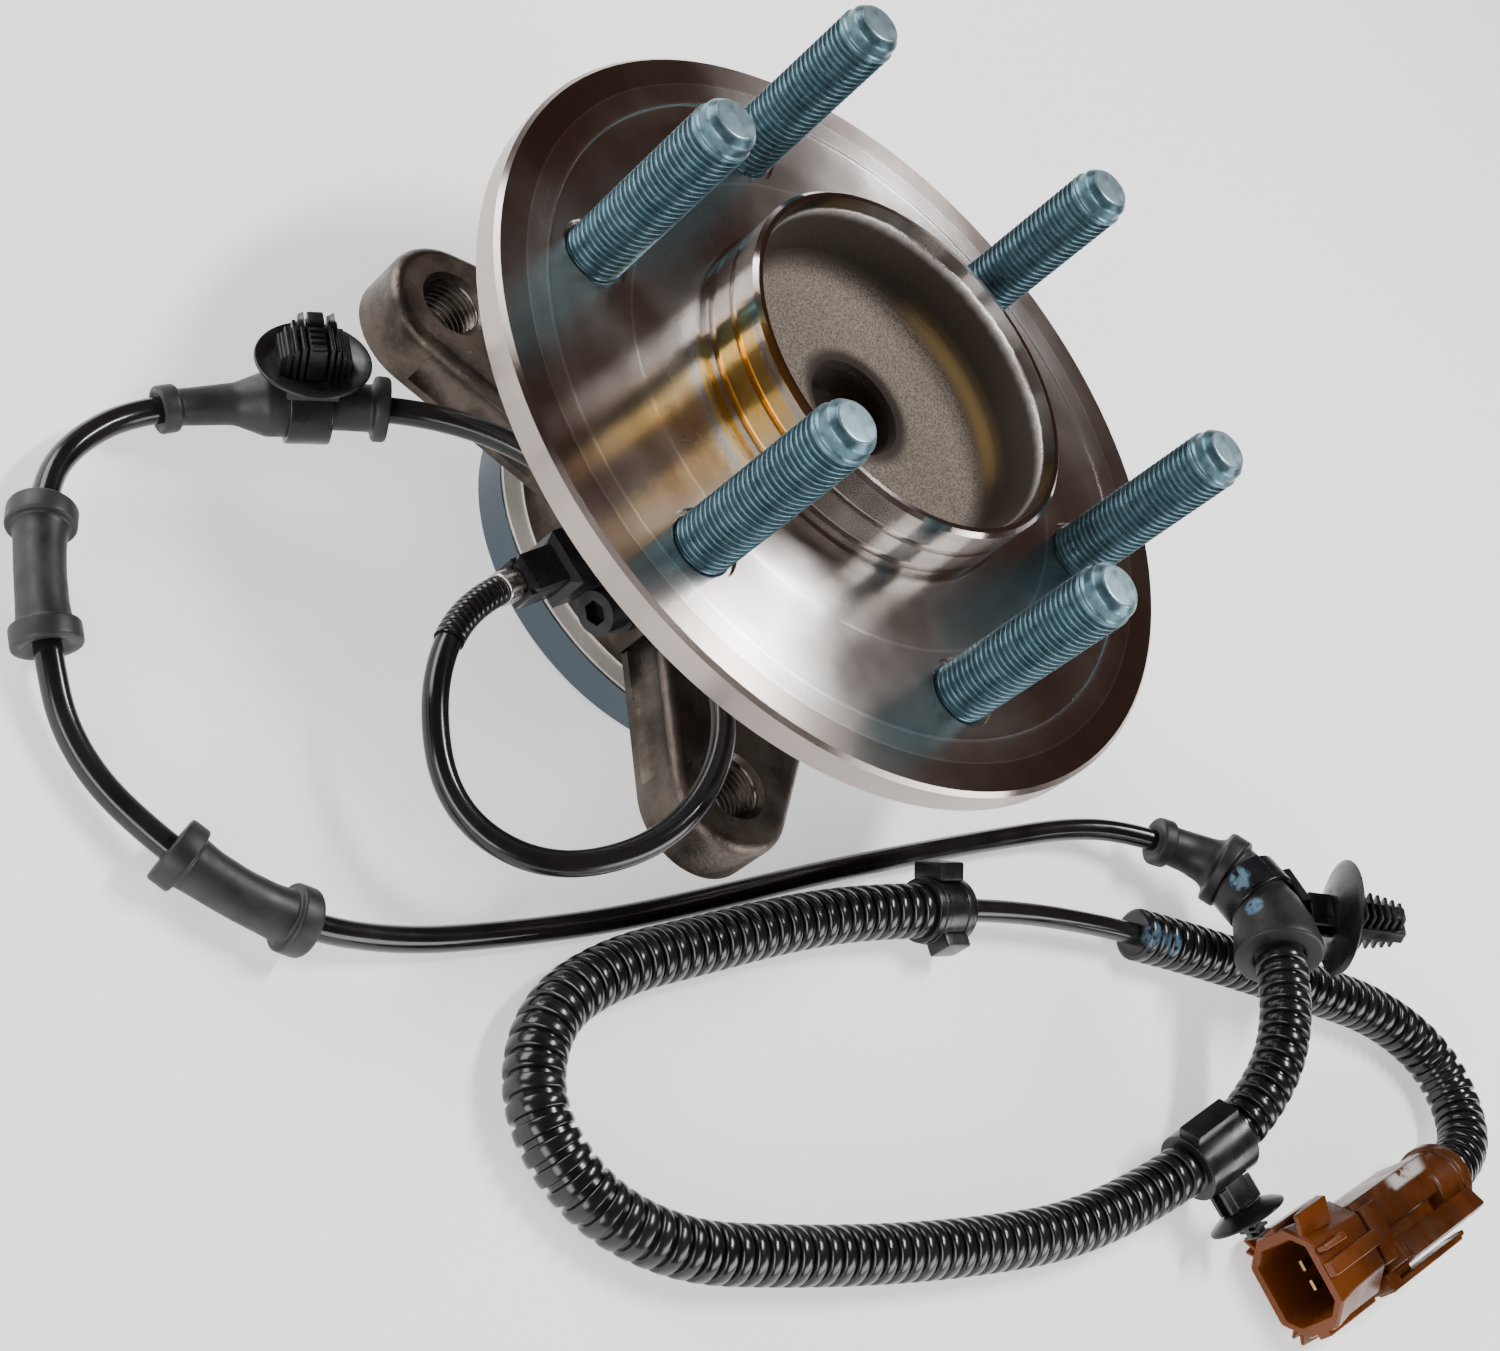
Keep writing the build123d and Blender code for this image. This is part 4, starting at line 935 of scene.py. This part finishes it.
def addBracketGrommet():
    look = bracketLook
    station = nearestStation(cableLine, midRun("sensorCable", 11))
    outline = [(station + place, radius) for place, radius in look["outline"]]
    return addSleeve("bracketGrommet", "bracket_grommet", cableLine, outline,
                     look["soften"]), station


def strapMesh(radius, wall, width, segments=64):
    outline = softLine([(radius - wall, -width / 2), (radius, -width / 2), (radius, width / 2),
                        (radius - wall, width / 2)], 0.0004)
    return spun(outline, segments)


def dishMesh(radius, thickness, rise):
    # a thin sprung washer that cups away from its stem
    outline = [(0.002, -thickness / 2), (radius * 0.45, -thickness / 2),
               (radius * 0.9, rise - thickness * 0.6), (radius, rise),
               (radius * 0.98, rise + thickness * 0.4), (radius * 0.86, rise + thickness * 0.2),
               (radius * 0.42, thickness / 2), (0.002, thickness / 2)]
    return spun(softLine(outline, 0.0004), 64)


def addBracketClip(station):
    look = bracketLook
    place = frameAt(cableLine, station + look["clipAt"], (0, 0, 1)) @ turnZ(look["tilt"])
    depth, width, height = look["block"]
    base = look["discAt"]

    def shareOfBlock(shares):
        return tuple(size * share for size, share in zip(look["block"], shares))

    parts = [(strapMesh(look["strapRadius"], look["wall"], look["strapWidth"]), Matrix()),
             (roundedBlock(look["base"]), shift(x=base - 0.0018)),
             (dishMesh(look["discRadius"], look["wall"], look["rise"]), shift(x=base) @ towardX())]
    middle = base + 0.0008 + depth / 2
    parts.append((roundedBlock(shareOfBlock(look["spine"])), shift(x=middle)))
    for level in range(look["rungs"]):  # ladder down the middle
        rung = roundedBlock((depth * 0.5, look["plate"], height * 0.20), 0.0002)
        level -= (look["rungs"] - 1) / 2
        parts.append((rung, shift(middle + depth * 0.30, width * level * 0.17, 0)))
    for side in (-1, 1):  # stepped cheeks
        for step, (reach, tall) in enumerate(look["cheeks"]):
            fin = roundedBlock((depth * tall, width * (1.0 - 0.09 * step), look["plate"]), 0.0003)
            parts.append((fin, shift(middle - depth * (1 - tall) / 2, 0, side * height * reach)))
        core = roundedBlock(shareOfBlock(look["core"]), 0.0004)
        parts.append((core, shift(middle - depth * 0.16, 0, side * height * 0.30)))
        horn = roundedBlock(look["horn"], 0.0003, (0.7, 0.7))
        parts.append((horn, shift(middle + depth * 0.54, width * 0.30, side * height * 0.21)))
    parts.append((roundedBlock(look["tab"], 0.0004), shift(middle + depth * 0.50, width * 0.36, 0)))
    return newPiece("bracketClip", assemble("bracketClip", parts, place), clipFinish,
                    "bracket_clip")


bracketGrommet, bracketStation = addBracketGrommet()
bracketClip = addBracketClip(bracketStation)
print("grommets and bracket clip done")

bootLook = {
    # (distance along the boot, radius)
    "outline": [(0.0012, 0.0029), (0.0, 0.0044), (0.0, 0.0063), (0.0040, 0.0063),
                (0.0042, 0.0051), (0.0100, 0.0054), (0.0155, 0.0062), (0.0176, 0.0072),
                (0.0179, 0.0098), (0.0229, 0.0098), (0.0233, 0.0083), (0.0280, 0.0082),
                (0.0345, 0.0083), (0.0370, 0.0092), (0.0440, 0.0106), (0.0495, 0.0115),
                (0.0514, 0.0114), (0.0516, 0.0068), (0.0500, 0.0064)],
    "soften": 0.0012,
}
bootClipLook = {"side": (0.56, 0.70, 0.44), "share": 0.12, "strapAt": 0.0300,
                "strapRadius": 0.0097, "strapWidth": 0.0080, "discAt": 0.0160,
                "discRadius": 0.0152, "rise": 0.0022, "pin": (0.0196, 0.0138, 0.0088),
                "fins": 8, "wall": 0.0015, "bridge": (0.0030, 0.0076, 0.0110),
                # depth, width, turn about the strap and how far out it stands
                "buckle": (0.0026, 0.0066, 110, 0.0004)}


def addBoot():
    look = bootLook
    line = readLine(routes["boot"])
    return addSleeve("conduitBoot", "conduit_boot", line, look["outline"], look["soften"],
                     56), line


pinLook = {"stem": 0.0062, "dish": 0.0013, "brace": (0.0012, 0.0100), "braceApart": 0.0022,
           "finned": 0.86, "finShare": 0.45, "finFrom": 0.0018, "taper": 0.32}


def pinParts(look, wall):
    # stem, sprung disc and finned push-in block, out along X
    outer = look["strapRadius"]
    stem = look["discAt"] - outer
    parts = [(roundedBlock((stem + wall, pinLook["stem"], pinLook["stem"])),
              shift(x=outer + stem / 2 - wall / 2)),
             (dishMesh(look["discRadius"], pinLook["dish"], look["rise"]),
              shift(x=look["discAt"] + 0.0006) @ towardX())]
    for side in (-1, 1):  # ribs that brace the stem
        rib = roundedBlock((stem, *pinLook["brace"]), 0.0003)
        parts.append((rib, shift(outer + stem / 2, side * pinLook["braceApart"], 0)))
    length, width, depth = look["pin"]
    middle = look["discAt"] + length / 2
    parts.append((roundedBlock((length, width * 0.30, depth)), shift(x=middle)))
    parts.append((roundedBlock((length * 0.92, width * 0.72, depth * 0.5)), shift(x=middle)))
    pitch = length * pinLook["finned"] / look["fins"]
    for index in range(look["fins"]):
        share = 1.0 - pinLook["taper"] * (index / look["fins"]) ** 2
        fin = roundedBlock((pitch * pinLook["finShare"], width * share, depth * share), 0.0003)
        parts.append((fin, shift(x=look["discAt"] + pinLook["finFrom"] + (index + 0.5) * pitch)))
    return parts


def strapParts(look, place=Matrix()):
    # a strap with the buckle that closes it
    depth, width, turn, out = look["buckle"]
    buckle = roundedBlock((depth, width, look["strapWidth"] * 0.9), 0.0005)
    return [(strapMesh(look["strapRadius"], look["wall"], look["strapWidth"]), place),
            (buckle, place @ turnZ(turn) @ shift(x=look["strapRadius"] + out))]


def addConduitClip():
    look = conduitClipLook
    station = nearestStation(longLine, midRun("longConduit", 2, 0.45))
    parts = pinParts(look, look["wall"]) + strapParts(look)
    mesh = assemble("conduitClip", parts, frameAt(longLine, station, look["side"]))
    return newPiece("conduitClip", mesh, clipFinish, "conduit_clip")


def addBootClip():
    look = bootClipLook
    start, end = Vector(routes["boot"][2]), Vector(routes["boot"][3])
    axis = (end - start).normalized()
    side = squareTo(Vector(look["side"]), axis)
    mount = axesAt(start.lerp(end, look["share"]), side, axis)
    parts = [(mesh, mount @ place) for mesh, place in pinParts(look, 0.0)]
    parts += strapParts(look, frameAt(bootLine, look["strapAt"], side))
    bridge = roundedBlock(look["bridge"], 0.0006)
    parts.append((bridge, frameAt(bootLine, look["strapAt"] + 0.0030, side)
                  @ shift(x=look["strapRadius"] + 0.0008)))
    return newPiece("bootClip", assemble("bootClip", parts), clipFinish, "boot_clip")


conduitBoot, bootLine = addBoot()
bootClip = addBootClip()

conduitClipLook = {"side": (0.95, 0.24, 0.0), "strapRadius": 0.0087, "strapWidth": 0.0160,
                   "discAt": 0.0148, "discRadius": 0.0100, "rise": 0.0022,
                   "pin": (0.0078, 0.0070, 0.0050), "fins": 4, "wall": 0.0021,
                   "buckle": (0.0030, 0.0064, 140, 0.0006)}
conduitClip = addConduitClip()

endClipLook = {
    "radius": 0.0077, "length": 0.0125, "bandsAt": (-0.0036, 0.0036), "bandWidth": 0.0018,
    # a lug and a boss on its sides: size, bevel, direction and how far out each stands
    "lug": ((0.0046, 0.0096, 0.0076), 0.0008, (-0.86, 0.24, 0.46), 0.0016),
    "boss": ((0.0034, 0.0068, 0.0078), 0.0007, (0.97, -0.25, 0.0), 0.0011),
}


def addEndClip():
    look = endClipLook
    half = look["length"] / 2
    at = longLength - half
    sleeve = softLine([(0.0030, half + 0.0006), (0.0052, half), (look["radius"], half),
                       (look["radius"], -half), (0.0066, -half)], 0.0008)
    side = look["lug"][2]
    parts = [(spun(sleeve, 56), frameAt(longLine, at, side))]
    for along in look["bandsAt"]:
        band = strapMesh(look["radius"] + 0.0003, 0.0012, look["bandWidth"])
        parts.append((band, frameAt(longLine, at + along, side)))
    for size, bevel, side, out in (look["lug"], look["boss"]):
        parts.append((roundedBlock(size, bevel),
                      frameAt(longLine, at, side) @ shift(x=look["radius"] + out)))
    return newPiece("conduitEndClip", assemble("conduitEndClip", parts), clipFinish,
                    "conduit_end_clip")


conduitEndClip = addEndClip()
print("boot and clips done")


# connector: drawn with Z into the plug and X up, then set at the conduit's end
def eightSided(size, corner, height, ease=0.0006, steps=3):
    halfX, halfY = size[0] / 2, size[1] / 2
    points = [(halfX, halfY - corner), (halfX - corner, halfY), (-halfX + corner, halfY),
              (-halfX, halfY - corner), (-halfX, -halfY + corner), (-halfX + corner, -halfY),
              (halfX - corner, -halfY), (halfX, -halfY + corner)]
    count = len(points)
    ring = []
    for index in range(count):
        corner0 = Vector(points[index])
        back = (Vector(points[index - 1]) - corner0).normalized() * ease
        ahead = (Vector(points[(index + 1) % count]) - corner0).normalized() * ease
        for step in range(steps):
            t = step / (steps - 1)
            spot = corner0 + back * (1 - t) ** 2 + ahead * t * t
            ring.append(Vector((spot.x, spot.y, height)))
    return ring


# latch arm, its root and the step behind the mouth: place, size, turn about Z
upperParts = [((0.0094, -0.0072, 0.0245), (0.0036, 0.0062, 0.0400), 22.0),
              ((0.0070, -0.0066, 0.0445), (0.0070, 0.0066, 0.0060), 12.0),
              ((0.0080, 0.0000, 0.0495), (0.0040, 0.0150, 0.0080), 0.0)]
# guide fins round the mouth: place in X and Y, size, turn about Z
mouthFins = [((0.0085, 0.0122), (0.0030, 0.0070, 0.0130), -20.0),
             ((-0.0078, 0.0104), (0.0016, 0.0044, 0.0060), 45.0),
             ((-0.0078, -0.0104), (0.0016, 0.0044, 0.0060), -45.0),
             ((0.0112, 0.0052), (0.0050, 0.0020, 0.0090), 0.0),
             ((-0.0070, 0.0128), (0.0020, 0.0046, 0.0070), 25.0),
             ((-0.0068, -0.0126), (0.0020, 0.0040, 0.0070), -25.0)]


def addConnector():
    look = plugLook
    top = look["neck"] + look["body"] + look["shroud"]
    low = top - look["shroud"]
    outer, inner = look["shroudSize"], look["socketSize"]
    # (growth in X, growth in Y, height), up the outside and down into the socket
    outside = [(-0.0050, -0.0050, low - 0.0024), (-0.0008, -0.0008, low + 0.0002),
               (0, 0, low + 0.0012), (0, 0, top - 0.0080), (0.0004, 0.0016, top - 0.0007),
               (-0.0004, 0.0008, top)]
    inside = [(0.0026, 0.0026, top), (0.0016, 0.0016, top - 0.0010), (0, 0, top - 0.0080),
              (-0.0006, -0.0006, top - look["socketDepth"])]
    shell = [eightSided((outer[0] + x, outer[1] + y), look["corner"], height)
             for x, y, height in outside]
    shell += [eightSided((inner[0] + x, inner[1] + y), look["socketCorner"], height)
              for x, y, height in inside]
    bodyDepth, bodyWidth = look["bodySize"]
    bodyLength = look["body"] + look["overlap"]
    bodyMiddle = look["neck"] + look["body"] / 2 - look["overlap"] / 2
    parts = [(ringMesh("shell", shell), Matrix()),
             (roundedBlock((bodyDepth - look["slotDepth"], bodyWidth, bodyLength), 0.0012),
              shift(-look["slotDepth"] / 2, 0, bodyMiddle)),
             (roundedBlock((look["ridge"], bodyWidth * 0.56, bodyLength), 0.0012),
              shift(bodyDepth / 2 - look["ridge"] / 2, bodyWidth * 0.22, bodyMiddle))]
    neck = softLine([(0.0066, -0.0002), (look["collar"], 0.0), (look["collar"], 0.0040),
                     (look["neckRadius"], 0.0044), (look["neckRadius"], look["neck"] + 0.001),
                     (0.004, look["neck"] + 0.001)], 0.0008)
    parts.append((spun(neck, 56), Matrix()))
    middle = low + look["shroud"] / 2
    for turn, axis, high in look["rails"]:
        rail = roundedBlock((high * 2, look["railWidth"], look["shroud"] * 0.98), 0.0006)
        parts.append((rail, turnZ(turn) @ shift(outer[axis] / 2, 0, middle)))
    for spot, size, turn in upperParts:
        part = roundedBlock(size, 0.0007)
        parts.append((part, shift(*spot) @ turnZ(turn)))
    for spot, size, turn in mouthFins:
        fin = roundedBlock(size, 0.0006, (0.55, 0.8))
        parts.append((fin, shift(*spot, top - size[2] / 2 - 0.0004) @ turnZ(turn)))
    return newPiece("plugHousing", assemble("plugHousing", parts, plugPlace), plugFinish,
                    "connector_housing", plugCrease)


lockLook = {
    # name: middle in X, Y and Z, size, bevel
    "base": ((0.0000, -0.0106, 0.0330), (0.0086, 0.0022, 0.0320), 0.0006),
    "blade": ((0.0022, -0.0141, 0.0300), (0.0052, 0.0018, 0.0390), 0.0006),
    "tip": ((0.0022, -0.0138, 0.0100), (0.0030, 0.0014, 0.0060), 0.0005),
    "root": ((0.0010, -0.0122, 0.0470), (0.0076, 0.0044, 0.0060), 0.0007),
    "stay": ((0.0000, -0.0120, 0.0400), (0.0016, 0.0040, 0.0160), 0.0005),
}


def addPlugLock():
    parts = [(roundedBlock(size, bevel), shift(*spot)) for spot, size, bevel in lockLook.values()]
    return newPiece("plugLock", assemble("plugLock", parts, plugPlace), plugFinish,
                    "connector_lock", plugCrease)


plugFrom, plugTo = (Vector(point) for point in routes["shortConduit"][-2:])
plugAxis = (plugTo - plugFrom).normalized()
plugPlace = axesAt(plugTo, squareTo(Vector((0, 0, 1)), plugAxis), plugAxis)
plugHousing = addConnector()
plugLock = addPlugLock()
print("connector done")

# tapped holes of the four ears
earLook = {"halfX": 0.0607, "halfY": 0.0558, "low": 0.0212, "high": 0.0338, "major": 0.00695,
           "depth": 0.0007, "pitch": 0.0015, "segments": 48, "rim": 0.0002, "crease": 50.0}


def addEarThreads():
    look = earLook
    rings = threadRings(look["low"], look["high"], look)
    outer = plainRing(look["major"] + look["rim"], look["high"], look["segments"])
    base = plainRing(look["major"] + look["rim"], look["low"], look["segments"])
    mesh = ringMesh("earThread", [base] + rings + [outer], closedEnds=False)
    mesh.flip_normals()
    finishMesh(mesh, threadFinish, look["crease"])
    index = 0
    for x in (-look["halfX"], look["halfX"]):
        for y in (-look["halfY"], look["halfY"]):
            index += 1
            piece = placeObject("earThread%d" % index, mesh)
            piece.location = (x, y, 0)
            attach(piece, "root")


addEarThreads()

# forked relief on the sensor, its crimp ring and the ribbed sleeve on the cable
reliefLook = {"azimuth": -88.5, "height": 0.0295, "low": 0.0672, "high": 0.0786, "rail": 0.0014,
              "spread": 0.0038, "railHeight": 0.0064, "ring": 0.0037, "ringLength": 0.0052,
              "sleeve": 0.0250, "sleeveRadius": 0.00325, "pitch": 0.0017, "groove": 0.00038,
              "foot": (0.5, 0.0020, 0.5), "crimpFrom": 0.0002, "crimpBore": 0.0028}


def addSensorRelief():
    look = reliefLook
    place = shift(z=look["height"]) @ turnZ(look["azimuth"])
    length = look["high"] - look["low"]
    parts = []
    for side in (-1, 1):
        rail = roundedBlock((length, look["rail"], look["railHeight"]), 0.0004)
        parts.append((rail, shift(look["low"] + length / 2, side * look["spread"], 0)))
        long, wide, tall = look["foot"]
        foot = roundedBlock((length * long, wide, look["railHeight"] * tall), 0.0004)
        parts.append((foot, shift(look["low"] + length * 0.3, side * look["spread"] * 0.8, 0)))
    newPiece("sensorFork", assemble("sensorFork", parts, place), clipFinish)
    start, end, bore = look["crimpFrom"], look["ringLength"], look["crimpBore"]
    ringOutline = softLine([(start, bore), (start, look["ring"]), (end, look["ring"]),
                            (end, bore)], 0.0004)
    return newPiece("crimpRing", ringMesh("crimpRing", sleeveRings(cableLine, ringOutline)),
                    crimpFinish)


def addReliefSleeve():
    look = reliefLook
    outline = []
    count = round((look["sleeve"] - look["ringLength"]) / look["pitch"])
    for index in range(count):
        start = look["ringLength"] + index * look["pitch"]
        radius = look["sleeveRadius"]
        outline += [(start, radius - look["groove"]), (start + look["pitch"] * 0.2, radius),
                    (start + look["pitch"] * 0.8, radius)]
    outline.append((look["sleeve"], look["sleeveRadius"] - look["groove"]))
    return newPiece("reliefSleeve", ringMesh("reliefSleeve", sleeveRings(
        cableLine, outline, 36)), cableFinish, sharp=softCrease)


crimpRing = addSensorRelief()
reliefSleeve = addReliefSleeve()
print("threads and sensor relief done")
